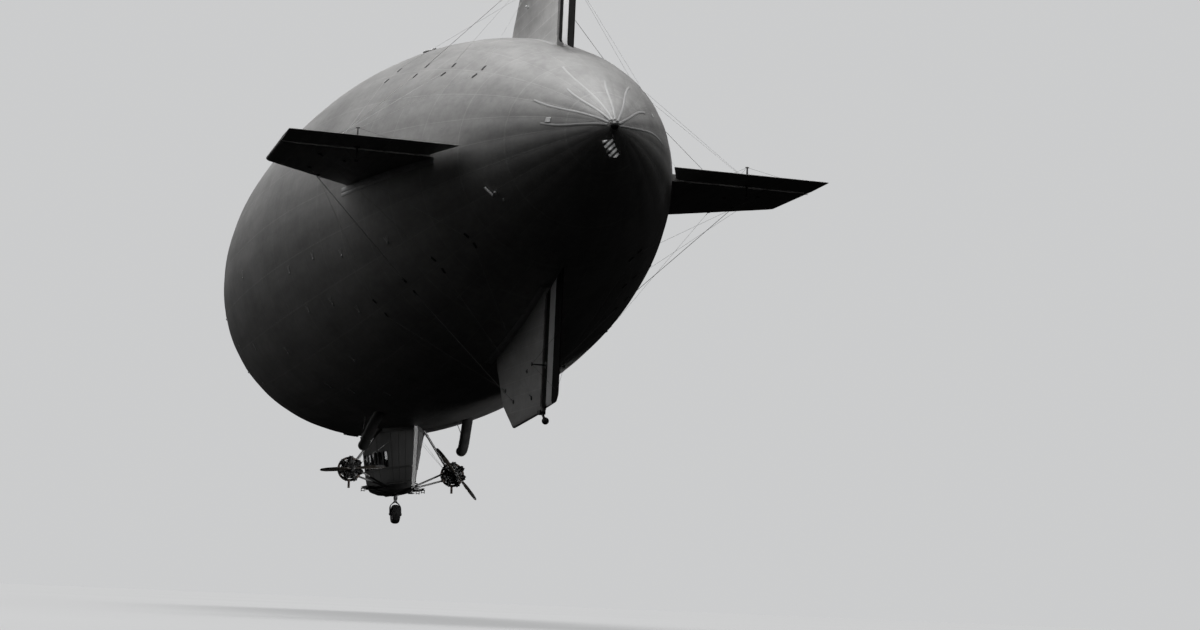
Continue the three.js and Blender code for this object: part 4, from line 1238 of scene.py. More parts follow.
def cylinder_sketch():
    """One upright cylinder, with its fins, valve gear and plug."""
    sketch = Sketch()
    core = 0.058
    profile = [(0.16, 0.0), (0.16, 0.075), (0.185, 0.075), (0.187, core)]
    for i in range(COOLING_FINS):
        low = 0.2 + i * 0.0182
        radius = 0.084 if i < 7 else 0.084 + 0.016 * math.sin(math.pi * (i - 6) / 8)
        profile += [(low, core), (low + 0.002, radius), (low + 0.006, radius), (low + 0.008, core)]
    profile += [(0.44, core), (0.445, 0.05), (0.452, 0.02), (0.452, 0.0)]
    sketch.turned(profile, (0, 0, 0), (0, 0, 1), 28)
    for lean in (-1, 1):
        rocker = Vector((-0.02, lean * 0.045, 0.438))
        sketch.block(rocker - ROCKER_HALF, rocker + ROCKER_HALF + Vector((0, 0, 0.002)), 0.008)
        sketch.tube([(-0.115, lean * 0.03, 0.15), (-0.1, lean * 0.038, 0.3), (-0.06, lean * 0.045, 0.43)],
                    0.0085, 8)
    for path, radius, sides in (
        ([(0.05, 0.0, 0.4), (0.1, 0.0, 0.42)], 0.012, 8),
        ([(-0.05, 0.0, 0.41), (-0.1, 0.0, 0.425), (-0.13, 0.01, 0.36), (-0.135, 0.02, 0.25)], 0.0045, 6),
        ([(0.06, 0.07, 0.38), (0.12, 0.075, 0.34), (0.13, 0.05, 0.22), (0.12, 0.02, 0.15)], 0.02, 10),
    ):
        sketch.tube(path, radius, sides)
    return sketch


def engine_sketch():
    sketch = Sketch()
    for angle in turns(CYLINDERS):
        single = cylinder_sketch()
        sketch.turned_copy(single, Matrix.Rotation(angle, 4, "X"))
        single.mesh.free()
    sketch.turned(CASE, (0, 0, 0), (1, 0, 0), 48)
    sketch.turned(BAFFLE, (0, 0, 0), (1, 0, 0), 64)
    for angle in turns(14, 0.5):
        sketch.stud(about_x(-0.16, 0.18, angle), (-1, 0, 0), 0.011, 0.014, 0.018, 0.006)

    def by_cylinder(radius, angle):
        return Vector((IGNITION_X, radius * math.cos(angle), radius * math.sin(angle)))

    sketch.tube([by_cylinder(IGNITION_RADIUS, angle) for angle in turns(42)], 0.012, 8, closed=True)
    for angle in turns(CYLINDERS, 0.5):
        sketch.tube([by_cylinder(0.19, angle), by_cylinder(IGNITION_RADIUS, angle)], 0.008, 6)
    for lean in (-1, 1):
        sketch.turned([(0.0, 0.0), (0.0, 0.045), (0.05, 0.045), (0.056, 0.03), (0.1, 0.028), (0.1, 0.0)],
                      (0.14, lean * 0.09, 0.13), (1, 0, 0), 20)
    return sketch


def exhaust_sketch():
    sketch = Sketch()
    x = EXHAUST_X
    sketch.tube([about_x(x, EXHAUST_RADIUS, angle) for angle in turns(56)], 0.044, 18, closed=True)
    for angle in turns(CYLINDERS):
        up = Vector((0, -math.sin(angle), math.cos(angle)))
        stub = [up * reach + Vector((along, 0, 0))
                for along, reach in ((0.085, 0.4), (0.12, 0.4), (0.155, 0.39))]
        sketch.tube(stub, 0.026, 12)
    sketch.tube([(x, 0, -0.36), (x, 0, -0.46), (x - 0.006, 0, -0.56), (x - 0.018, 0, -0.658)],
                [0.036, 0.04, 0.04, 0.041], 18)
    sketch.tube([(x - 0.006, 0, -0.55), (x - 0.008, 0, -0.565)], 0.045, 18)
    return sketch


def nacelle_sketch():
    sketch = Sketch()
    sketch.turned([(NACELLE_X + along, radius) for along, radius in NACELLE], (0, 0, 0), (1, 0, 0), 64)
    for angle in turns(20):
        sketch.turned([(0.0, 0.0), (0.0, 0.006), (0.004, 0.004), (0.005, 0.0)],
                      about_x(NACELLE_X + 0.22, 0.251, angle), about_x(0, 1, angle), 8)
    sketch.stud((NACELLE_X + 0.3, 0, 0.237), (0.08, 0, 1), 0.045, 0.014, 0.02, 0.035, 24)
    return sketch


def make_engines():
    for side_name, sign in SIDES.items():
        place = Matrix.Translation(full(ENGINE_X, sign * ENGINE_Y, ENGINE_Z))
        set_down(engine_sketch(), place, f"engine_{side_name}_detail", DARK_METAL, "engine_metal",
                 replaces=[f"engine_{side_name}"], smooth_degrees=35)
        set_down(exhaust_sketch(), place, f"exhaust_{side_name}_pipes", BURNT_METAL, "exhaust_steel",
                 replaces=[f"exhaust_{side_name}"])
        set_down(nacelle_sketch(), place, f"nacelle_{side_name}_shell", CAR_PAINT, "car_skin",
                 replaces=[f"nacelle_{side_name}"], smooth_degrees=45)


make_engines()

# Propellers: blade stations as (share of the radius, chord, thickness, pitch in degrees)

BLADE_STATIONS = [(0.04, 0.085, 0.08, 60), (0.12, 0.1, 0.075, 55), (0.25, 0.138, 0.05, 48),
                  (0.5, 0.168, 0.034, 33), (0.8, 0.14, 0.022, 22), (0.95, 0.095, 0.015, 18),
                  (0.99, 0.055, 0.012, 17), (0.998, 0.02, 0.008, 17)]
BLADE_FROM, BLADE_TO = 0.04, 0.998
SHEATH_FROM = 0.7
HUB = [(-0.078, 0.036), (-0.078, 0.07), (-0.07, 0.083), (0.07, 0.083), (0.078, 0.07), (0.078, 0.036)]


def blade_section(share, chord, thickness, pitch_degrees):
    """A ring of the blade, flat behind and rounded in front, with a sharper trailing edge."""
    pitch = math.radians(pitch_degrees)
    ring = []
    for angle in turns(24):
        along = chord / 2 * math.cos(angle) + chord * 0.03
        across = thickness / 2 * math.sin(angle) * (1.15 if math.sin(angle) < 0 else 0.75)
        across *= 1 - 0.35 * max(0.0, math.cos(angle)) ** 2
        x = along * math.sin(pitch) + across * math.cos(pitch)
        y = along * math.cos(pitch) - across * math.sin(pitch)
        ring.append(Vector((x, y, PROPELLER_RADIUS * share)))
    return ring


def blade_station(share):
    """The row of the blade's table at a share of the radius, eased between its rows."""
    for low, high in zip(BLADE_STATIONS, BLADE_STATIONS[1:]):
        if low[0] <= share <= high[0]:
            t = (share - low[0]) / (high[0] - low[0])
            t = t * t * (3 - 2 * t)
            return [a + (b - a) * t for a, b in zip(low, high)]
    return BLADE_STATIONS[-1]


def make_propellers():
    for side_name, sign in SIDES.items():
        wood, tips, hub = Sketch(), Sketch(), Sketch()
        for flip in (0, math.pi):
            spin = Matrix.Rotation(flip, 4, "X")
            shares = [BLADE_FROM + (BLADE_TO - BLADE_FROM) * i / 46 for i in range(47)]
            wood.loft([[spin @ point for point in blade_section(*blade_station(share))] for share in shares])
            rings = []
            for share in [SHEATH_FROM + 0.298 * i / 18 for i in range(19)]:
                _, chord, thickness, pitch = blade_station(share)
                ring = blade_section(share, chord * 1.012, thickness * 1.09 + 0.0012, pitch)
                rings.append([spin @ point for point in ring[:7] + ring[-6:]])
            tips.loft(rings)
        hub.turned(HUB, (0, 0, 0), (1, 0, 0), 48)
        for angle in turns(8):
            hub.stud(about_x(-0.076, 0.058, angle), (-1, 0, 0), 0.009, 0.012, 0.015, 0.005)
        body = f"propeller_{side_name}"
        place = Matrix.Translation(full(PROPELLER_X, sign * ENGINE_Y, ENGINE_Z))
        place = place @ Matrix.Rotation(math.radians(PROPELLER_TURNS[side_name]), 4, "X")
        for sketch, name, surface, slot, nodes in (
            (wood, "blades", VARNISHED_WOOD, "propeller_wood", [body]),
            (tips, "blade_sheaths", BARE_METAL, "hub_aluminium", []),
            (hub, "hub", DARK_METAL, "engine_metal", []),
        ):
            set_down(sketch, place, f"{body}_{name}", surface, slot, body=body, replaces=nodes,
                     smooth_degrees=45)


make_propellers()

# Outriggers and air scoops, on the port side; the starboard ones are their mirror images

MOUNT_RING = [(-0.068, 0.0), (-0.068, 0.262), (-0.06, 0.269), (-0.03, 0.269), (-0.025, 0.25), (0.025, 0.25),
              (0.03, 0.269), (0.06, 0.269), (0.068, 0.262), (0.068, 0.0)]
OUTRIGGER_STRUTS = (
    ((MOUNT_X, 0.76, -5.98), (MOUNT_X, ENGINE_Y - 0.1, ENGINE_Z + 0.12), 0.0215),
    ((MOUNT_X + 0.12, 0.46, -8.05), (MOUNT_X + 0.02, ENGINE_Y - 0.2, ENGINE_Z + 0.08), 0.0165),
    ((MOUNT_X - 0.12, 0.46, -8.09), (MOUNT_X - 0.02, ENGINE_Y - 0.15, ENGINE_Z - 0.17), 0.0165),
)
OUTRIGGER_WIRES = (
    ((MOUNT_X + 0.9, 0.84, -6.35), (MOUNT_X + 0.08, ENGINE_Y - 0.18, ENGINE_Z + 0.1)),
    ((MOUNT_X - 0.9, 0.6, -6.5), (MOUNT_X - 0.07, ENGINE_Y - 0.2, ENGINE_Z + 0.08)),
)
SCOOP_PATH = ((0.495, 1.73, -6.799), (0.28, 1.73, -6.74), (-0.05, 1.7, -6.52), (-0.75, 1.6, -6.02),
              (-1.6, 1.46, -5.55))
SCOOP_OUTER_MODEL, SCOOP_INNER_MODEL = 0.089, 0.078
SCOOP_HEM_MODEL = 0.0014
SCOOP_LIP_MODEL = 0.0905
SCOOP_COLLAR_MODEL = 0.0915


def to_side(place, sign):
    x, y, z = place
    return full(x, sign * y, z)


def make_outriggers():
    for side_name, sign in SIDES.items():
        sketch, wires = Sketch(), Sketch()
        sketch.turned(sized(MOUNT_RING), full(MOUNT_X, sign * ENGINE_Y, ENGINE_Z), (1, 0, 0), 56)
        for start, end, radius in OUTRIGGER_STRUTS:
            first, last = to_side(start, sign), to_side(end, sign)
            sketch.tube([first, first.lerp(last, 0.5), last], radius, 20)
            along = (last - first).normalized() * 0.02
            for share in (0.14, 0.86):
                spot = first.lerp(last, share)
                sketch.tube([spot - along, spot + along], radius * 1.22, 20)
            sketch.tube([last, last.lerp(first, 0.12)], [radius * 2.0, radius * 1.1], 20)
        sketch.piece(f"outrigger_{side_name}_tubes", STRUT_PAINT, slot="tube_paint",
                     replaces=[f"outrigger_{side_name}"])
        for start, end in OUTRIGGER_WIRES:
            wires.tube([to_side(start, sign), to_side(end, sign)], 0.0022, 6)
        wires.piece(f"outrigger_{side_name}_wires", WIRE, slot="wire_steel")


make_outriggers()


def make_scoops():
    """The air scoops behind the propellers: open tubes that lead up into the hull."""
    for side_name, sign in SIDES.items():
        path = smooth_path([to_side(place, sign) for place in SCOOP_PATH], 44)
        sketch = Sketch()
        outer = [SCOOP_OUTER_MODEL + (SCOOP_HEM_MODEL if i % 9 == 0 else 0.0) for i in range(len(path))]
        outer[:2] = [SCOOP_LIP_MODEL, SCOOP_LIP_MODEL]
        ring_path = path + path[:-4][::-1]
        radii = outer + [SCOOP_INNER_MODEL] * (len(path) - 4)
        rows = []
        for i, point in enumerate(ring_path):
            k = len(ring_path) - 1 - i if i >= len(path) else i
            heading = (path[min(k + 1, len(path) - 1)] - path[max(k - 1, 0)]).normalized()
            across = Vector((0, 1, 0))
            across = (across - heading * across.dot(heading)).normalized()
            other = heading.cross(across)
            rows.append([point + (across * math.cos(angle) + other * math.sin(angle)) * radii[i]
                         for angle in turns(36)])
        sketch.grid(rows, close_rows=True, close_columns=True)
        sketch.piece(f"air_scoop_{side_name}_tube", SCOOP_PAINT, slot="scoop_fabric",
                     replaces=[f"air_scoop_{side_name}"], smooth_degrees=50)
        stays = Sketch()
        for share in (0.1, 0.5):
            k = int(len(path) * share)
            heading = (path[k + 1] - path[k]).normalized() * 0.008
            stays.tube([path[k] - heading, path[k] + heading], SCOOP_COLLAR_MODEL, 36)
        for lean in (-0.12, 0.12):
            stays.tube([path[12] + Vector((0, lean * 0.5, 0.04)), full(0.4, sign * (1.6 + lean), -5.75)],
                       0.006, 8)
        stays.piece(f"air_scoop_{side_name}_stays", TUBE_PAINT, slot="tube_paint")


make_scoops()

# Car: plan, section and bottom line as (x, z) and (z, half-width)

CAR_BOW_X = 6.7
CAR_TAPER_MIDDLE = (1.9, 0.8)
CAR_STRAIGHT_FROM, CAR_STRAIGHT_TO = 3.0, 5.65
CAR_HALF = 0.88
CAR_STERN_HALF = 0.06
CAR_WALL = 0.05
FAIRING_INSET = 0.02
CAR_SILL = -7.42
CAR_ROOF = -6.12
CAR_SECTION = [(-8.34, 0.1), (-8.28, 0.28), (-8.18, 0.42), (-8.05, 0.505), (-7.9, 0.56),
               (CAR_ROOF, CAR_HALF), (-5.8, CAR_HALF)]
CAR_BOW = [(6.76, -7.0), (6.62, -6.0)]
CAR_BOW_LEAN = 0.14
CAR_BOTTOM = [(-0.2, -8.11), (0.23, -8.16), (1.5, -8.26), (3.0, -8.3), (4.9, -8.29), (5.8, -8.12),
              (6.4, -7.78), (6.66, -7.36), (6.76, -7.0)]
CAR_ROWS = 36
SIDE_WINDOWS = [(2.15, 0.38, (1, -1)), (2.68, 0.38, (1, -1)), (3.26, 0.42, (1,)), (3.92, 0.5, (1,)),
                (4.58, 0.5, (1, -1)), (5.24, 0.5, (1, -1))]
WINDOW_SILL, WINDOW_HEAD = -7.4, -6.84
BOW_PANES = (-52, -17, 17, 52)
BOW_PANE_SILL, BOW_PANE_HEAD, BOW_PANE_HALF = -6.98, -6.42, 0.2
BOW_PANE_CENTRE_X = CAR_STRAIGHT_TO - 0.3
DOOR_AFT, DOOR_FORWARD, DOOR_BOTTOM, DOOR_TOP = 3.2, 4.0, -7.84, -6.36
SIDE_LEAN = 0.18
CHIN_FROM, CHIN_TO = 5.65, 6.45
CHIN_RADIUS = 0.42
CHIN_POWER = 2.4
LOWER_RAIL_Z, LOWER_RAIL_END = -7.92, 5.8
LOWER_RIVETS_Z = -7.86
UPRIGHT_RAILS_X = (0.55, 1.05, 1.6, 2.95, 4.26, 4.92, 5.62)
RIVET_PITCH = 0.085


def follow(table, place):
    """The value of a table of (place, value) at a place, along straight lines between its rows."""
    for (low, value), (high, next_value) in zip(table, table[1:]):
        if low <= place <= high:
            return value + (next_value - value) * (place - low) / (high - low)
    return table[0][1] if place < table[0][0] else table[-1][1]


def chin_share(x, z, inset):
    """How much of the width is left where the bottom of the bow is rounded."""
    along = min(1.0, max(0.0, (x - CHIN_FROM) / (CHIN_TO - CHIN_FROM)))
    rounding = along * along * (3 - 2 * along)
    below = min(1.0, max(0.0, 1 - (z - car_low(x) - inset) / CHIN_RADIUS))
    return 1 - rounding * (1 - math.sqrt(1 - below ** CHIN_POWER))


def car_half(x, z, inset=0.0):
    """Half the car's width at a place along it and a height."""
    section = follow(CAR_SECTION, z)
    share = section / CAR_HALF
    half = section - inset
    if x < CAR_STRAIGHT_FROM:
        stern_x = inset * 5
        stern_half = 0.05 * share if inset else CAR_STERN_HALF
        middle_x, middle_half = CAR_TAPER_MIDDLE[0], CAR_TAPER_MIDDLE[1] * share - inset
        a = stern_x - 2 * middle_x + CAR_STRAIGHT_FROM
        b = 2 * (middle_x - stern_x)
        c = stern_x - max(x, stern_x)
        t = (-b + math.sqrt(b * b - 4 * a * c)) / (2 * a)
        return (1 - t) ** 2 * stern_half + 2 * (1 - t) * t * middle_half + t * t * half
    if x <= CAR_STRAIGHT_TO:
        return half
    share_along = min(1.0, (x - CAR_STRAIGHT_TO) / (CAR_BOW_X - inset - CAR_STRAIGHT_TO))
    return half * math.sqrt(1 - share_along ** 2) * chin_share(x, z, inset)


def car_low(x):
    return follow(CAR_BOTTOM, x)


def car_high(x, roof):
    """The bow leans back above its foremost point, so the roof ends before it."""
    (foot_x, foot_z), (top_x, _) = CAR_BOW
    return min(roof, foot_z + (foot_x - x) / CAR_BOW_LEAN) if x > top_x else roof


def car_body(inset, roof):
    """The filled car, drawn in by some distance from its outer face."""
    first_x = inset * 5 if inset else 0.0
    bow_length = CAR_BOW_X - inset - CAR_STRAIGHT_TO
    stations = [first_x + (CAR_STRAIGHT_TO - first_x) * i / 40 for i in range(40)]
    stations += [CAR_STRAIGHT_TO + bow_length * math.sin(math.pi / 2 * i / 22) for i in range(23)]
    rings = []
    for x in stations:
        low, high = car_low(x) + inset, car_high(x, roof)
        half = [(car_half(x, low, inset) * i / 5, low) for i in range(5)]
        for i in range(CAR_ROWS + 1):
            z = low + (high - low) * (i / CAR_ROWS) ** 1.4
            half.append((car_half(x, z, inset), z))
        half += [(car_half(x, high, inset) * (4 - i) / 5, high) for i in range(4)]
        rings.append([full(x, y, z) for y, z in half] + [full(x, -y, z) for y, z in half[:0:-1]])
    sketch = Sketch()
    made = sketch.grid(rings, close_columns=True)
    sketch.cap(made[0], flip=True)
    bmesh.ops.remove_doubles(sketch.mesh, verts=sketch.mesh.verts, dist=0.0004)
    open_edges = [edge for edge in sketch.mesh.edges if edge.is_boundary]
    if open_edges:
        bmesh.ops.holes_fill(sketch.mesh, edges=open_edges, sides=0)
    return sketch


def rounded_outline(low_u, high_u, low_v, high_v, radius, corner_steps=5):
    """A rectangle with rounded corners, as (u, v) points that go round once."""
    points = []
    for centre_u, centre_v, start in (
        (high_u - radius, high_v - radius, 0), (low_u + radius, high_v - radius, 90),
        (low_u + radius, low_v + radius, 180), (high_u - radius, low_v + radius, 270),
    ):
        for step in range(corner_steps + 1):
            angle = math.radians(start + 90 * step / corner_steps)
            points.append((centre_u + radius * math.cos(angle), centre_v + radius * math.sin(angle)))
    return points


BOW_PANE = rounded_outline(-BOW_PANE_HALF, BOW_PANE_HALF, BOW_PANE_SILL, BOW_PANE_HEAD, 0.05)


def window_outline(middle, width):
    return rounded_outline(middle - width / 2, middle + width / 2, WINDOW_SILL, WINDOW_HEAD, 0.06)


def against_side(x, out, along):
    """A point by the leaning starboard side: out from its face, and along it from the roof's edge."""
    length = math.hypot(1, SIDE_LEAN)
    across, down = 1 / length, SIDE_LEAN / length
    return full(x, -CAR_HALF - out * across - along * down, CAR_ROOF - out * down + along * across)


def along_side(z):
    return (z - CAR_ROOF) * math.hypot(1, SIDE_LEAN)


SIDE_WINDOW_SILL, SIDE_WINDOW_HEAD = along_side(WINDOW_SILL), along_side(WINDOW_HEAD)
SIDE_DOOR_BOTTOM, SIDE_DOOR_TOP = along_side(DOOR_BOTTOM), along_side(DOOR_TOP)
DOOR_OPENING = rounded_outline(DOOR_AFT, DOOR_FORWARD, SIDE_DOOR_BOTTOM, SIDE_DOOR_TOP, 0.07)


def side_rings(*rings):
    """Rings by the starboard side, from outlines and their distances out."""
    return [[against_side(u, out, v) for u, v in outline] for outline, out in rings]


def bow_place(degrees, reach, lateral):
    """A place on a line from inside the bow at an angle from ahead, moved sideways from it."""
    angle = math.radians(degrees)
    return (BOW_PANE_CENTRE_X + reach * math.cos(angle) - lateral * math.sin(angle),
            reach * math.sin(angle) + lateral * math.cos(angle))


def bow_point(degrees, lateral, z, out=0.0):
    """Where such a line leaves the car, or a point some distance out from there."""
    low, high = 0.2, 2.0
    for _ in range(28):
        reach = (low + high) / 2
        x, y = bow_place(degrees, reach, lateral)
        if x < CAR_BOW_X and abs(y) < car_half(x, z):
            low = reach
        else:
            high = reach
    return full(*bow_place(degrees, low + out, lateral), z)


def cut_with(target, cutter):
    """Cuts one mesh out of another, and removes the cutter."""
    modifier = target.modifiers.new("cut", "BOOLEAN")
    modifier.operation = "DIFFERENCE"
    modifier.solver = "EXACT"
    modifier.object = cutter
    bpy.context.view_layer.update()
    shaped = bpy.data.meshes.new_from_object(target.evaluated_get(bpy.context.evaluated_depsgraph_get()))
    target.modifiers.clear()
    old = target.data
    target.data = shaped
    bpy.data.meshes.remove(old)
    bpy.data.objects.remove(cutter)


def window_cutters():
    sketch = Sketch()
    for middle, width, signs in SIDE_WINDOWS:
        outline = window_outline(middle, width)
        for sign in signs:
            sketch.loft([[full(x, sign * y, z) for x, z in outline] for y in (0.3, 1.1)])
    for degrees in BOW_PANES:
        sketch.loft([[full(*bow_place(degrees, reach, u), z) for u, z in BOW_PANE] for reach in (0.45, 2.0)])
    sketch.loft(side_rings((DOOR_OPENING, 0.3), (DOOR_OPENING, -0.16)))
    return sketch.loose("window_cutters")


def make_car_shell():
    shell = car_body(0.0, CAR_ROOF).loose("car_shell")
    cut_with(shell, car_body(CAR_WALL, CAR_ROOF - 0.04).loose("car_inside"))
    cut_with(shell, window_cutters())
    dress(shell, CAR_PAINT, replaces=("car_tub", "car_cabin", "car_roof"), smooth_degrees=24)


def make_fairing():
    """The skin between the car's roof and the hull, with a small flare at its foot."""
    fairing = Sketch()
    rings = []
    foot = CAR_ROOF + 0.001
    for i in range(61):
        x = 0.1 + (CAR_BOW_X - 0.021 - 0.1) * math.sin(math.pi / 2 * i / 60)
        half = max(0.012, car_half(x, CAR_ROOF, FAIRING_INSET))
        ring = [(half + 0.012, foot), (half + 0.004, foot + 0.02)]
        for k in range(15):
            y = half - 2 * half * k / 14
            ring.append((y, max(foot + 0.004, -math.sqrt(hull_radius(x) ** 2 - y * y) + 0.012)))
        ring += [(-half - 0.004, foot + 0.02), (-half - 0.012, foot)]
        rings.append([full(x, y, z) for y, z in ring])
    fairing.loft(rings)
    fairing.piece("car_fairing_skin", CAR_PAINT, slot="car_skin", replaces=["car_fairing"],
                  smooth_degrees=35)


def frame_on_surface(sketch, outline, surface_point, width=0.032, proud=0.014):
    """A raised rim round a window: surface_point gives the place of (u, v) at some distance out."""
    middle_u = sum(u for u, _ in outline) / len(outline)
    middle_v = sum(v for _, v in outline) / len(outline)
    section = ((0, -0.004), (0, proud * 0.8), (0.3, proud), (0.8, proud * 0.85), (1, -0.004))
    rings = []
    for u, v in outline:
        away = Vector((u - middle_u, v - middle_v)).normalized() * width
        rings.append([surface_point(u + away.x * share, v + away.y * share, out) for share, out in section])
    sketch.grid(rings, close_rows=True, close_columns=True)


def rivet(sketch, place, normal, radius=0.0045):
    profile = [(-0.001, 0.0), (-0.001, radius), (radius * 0.35, radius * 0.8), (radius * 0.6, 0.0)]
    sketch.turned(profile, place, normal, 6)


def car_side_point(sign, x, z, out=0.0):
    return full(x, sign * (car_half(x, z) + out), z)


def bow_end(z):
    """How far forward the car reaches at a height: its bottom rises to the bow, which leans back above."""
    if z > CAR_BOW[0][1]:
        return min(CAR_BOW_X, follow([(height, x) for x, height in CAR_BOW], z))
    rising = [(height, x) for x, height in CAR_BOTTOM if x > 2.9]
    return min(CAR_BOW_X, follow(rising, z))


def car_line(z, first_x=0.0, last_x=None):
    """Points along the car's port side at one height, each with its outward direction."""
    last_x = last_x or bow_end(z)
    straight_end = min(CAR_STRAIGHT_TO, last_x)
    stations = [first_x + (straight_end - first_x) * i / 30 for i in range(31)]
    if last_x > CAR_STRAIGHT_TO:
        full_turn = math.asin(min(1.0, (last_x - CAR_STRAIGHT_TO) / (CAR_BOW_X - CAR_STRAIGHT_TO)))
        stations += [CAR_STRAIGHT_TO + (CAR_BOW_X - CAR_STRAIGHT_TO) * math.sin(full_turn * i / 18)
                     for i in range(1, 19)]
    points = [Vector((x, car_half(x, z), z)) for x in stations]
    line = []
    for i, point in enumerate(points):
        heading = points[min(len(points) - 1, i + 1)] - points[max(0, i - 1)]
        line.append((point, Vector((-heading.y, heading.x, 0)).normalized()))
    return line


def mirrored(sign, vector):
    return Vector((vector.x, vector.y * sign, vector.z))


def rail(sketch, z, width, proud, first_x=0.02, last_x=None, signs=(1, -1)):
    """A flat strip along the sides of the car at one height, and round its bow where they meet."""
    for sign in signs:
        rings = []
        for point, outward in car_line(z, first_x, last_x):
            rise = Vector((0, 0, width / 2)) + outward * (SIDE_LEAN * width / 2)
            corners = (point - rise - outward * 0.004, point - rise + outward * proud,
                       point + rise + outward * proud, point + rise - outward * 0.004)
            rings.append([full(*mirrored(sign, corner)) for corner in corners])
        sketch.loft(rings)


def make_window_frames():
    frames = Sketch()
    for middle, width, signs in SIDE_WINDOWS:
        for sign in signs:
            frame_on_surface(frames, window_outline(middle, width),
                             lambda u, v, out, sign=sign: car_side_point(sign, u, v, out))
    for degrees in BOW_PANES:
        frame_on_surface(frames, BOW_PANE, lambda u, v, out, degrees=degrees: bow_point(degrees, u, v, out))
    frame_on_surface(frames, DOOR_OPENING, lambda u, v, out: against_side(u, out, v), 0.04, 0.012)
    frames.piece("car_window_frames", FRAME_PAINT, slot="car_skin", smooth_degrees=40)


def make_rails():
    rails = Sketch()
    for first_x, last_x, signs in ((0.02, None, (1,)), (0.02, DOOR_AFT - 0.045, (-1,)),
                                   (DOOR_FORWARD + 0.045, None, (-1,))):
        rail(rails, CAR_SILL, 0.05, 0.014, first_x, last_x, signs)
    rail(rails, -6.15, 0.055, 0.022)
    rail(rails, LOWER_RAIL_Z, 0.04, 0.016, 0.02, LOWER_RAIL_END)
    corners = ((-0.018, -0.003), (-0.018, 0.006), (0.018, 0.006), (0.018, -0.003))
    for sign in (1, -1):
        for x in UPRIGHT_RAILS_X:
            heights = [-7.9 + (-6.2 + 7.9) * i / 16 for i in range(17)]
            rails.loft([[car_side_point(sign, x + aside, z, out) for aside, out in corners]
                        for z in heights])
    rails.tube([full(x, 0, car_low(x) - 0.004) for x in [0.15 + 5.4 * i / 30 for i in range(31)]], 0.014, 10)
    rails.piece("car_rails", CAR_PAINT, slot="car_skin", smooth_degrees=35)


def make_rivets():
    """Rows of rivets along the car, but not across the doorway, and pairs of rows by the upright rails."""
    rivets = Sketch()
    door_middle = (DOOR_AFT + DOOR_FORWARD) / 2
    for z in (CAR_SILL - 0.045, CAR_SILL, LOWER_RIVETS_Z, -6.2):
        proud = 0.014 if z == CAR_SILL else 0.0
        line = car_line(z, 0.1, LOWER_RAIL_END if z == LOWER_RIVETS_Z else bow_end(z) - 0.03)
        travelled, due = 0.0, 0.0
        for (before, outward), (after, _) in zip(line, line[1:]):
            span = (after - before).length
            while due < travelled + span:
                point = before.lerp(after, (due - travelled) / span) + outward * proud
                by_door = DOOR_BOTTOM - 0.05 < z < DOOR_TOP and abs(point.x - door_middle) < 0.47
                for sign in (1,) if by_door else (1, -1):
                    rivet(rivets, full(*mirrored(sign, point)), mirrored(sign, outward))
                due += RIVET_PITCH
            travelled += span
    for sign in (1, -1):
        for x in UPRIGHT_RAILS_X:
            for z in [-7.8 + 1.55 * i / 19 for i in range(20)]:
                between_windows = 4 < x < 5 and WINDOW_SILL - 0.05 < z < WINDOW_HEAD + 0.05
                if abs(z - CAR_SILL) < 0.05 or between_windows:
                    continue
                for offset in (-0.03, 0.03):
                    rivet(rivets, car_side_point(sign, x + offset, z), (0, sign, -SIDE_LEAN))
    rivets.piece("car_rivets", CAR_PAINT, slot="car_skin", smooth_degrees=60)


def make_handrail():
    handrail = Sketch()
    for sign in (1, -1):
        line = car_line(-8.0, 0.5, bow_end(-8.0) - 0.12)
        spots = [(full(*mirrored(sign, point + outward * 0.07)), mirrored(sign, outward))
                 for point, outward in line]
        ends = [spot - outward * 0.036 for spot, outward in (spots[0], spots[-1])]
        handrail.tube([ends[0], *[spot for spot, _ in spots], ends[1]], 0.009, 10)
        for spot, outward in spots[::6]:
            handrail.tube([spot, spot - outward * 0.038], 0.006, 8)
            handrail.turned([(0.0, 0.0), (0.0, 0.014), (0.004, 0.013), (0.006, 0.0)], spot - outward * 0.036,
                            outward, 10)
    handrail.piece("car_handrail", TUBE_PAINT, slot="tube_paint")


DOOR_CLEARANCE = 0.012
HANDLE_X = 3.3
STEP_SIDES_X = (3.42, 3.78)


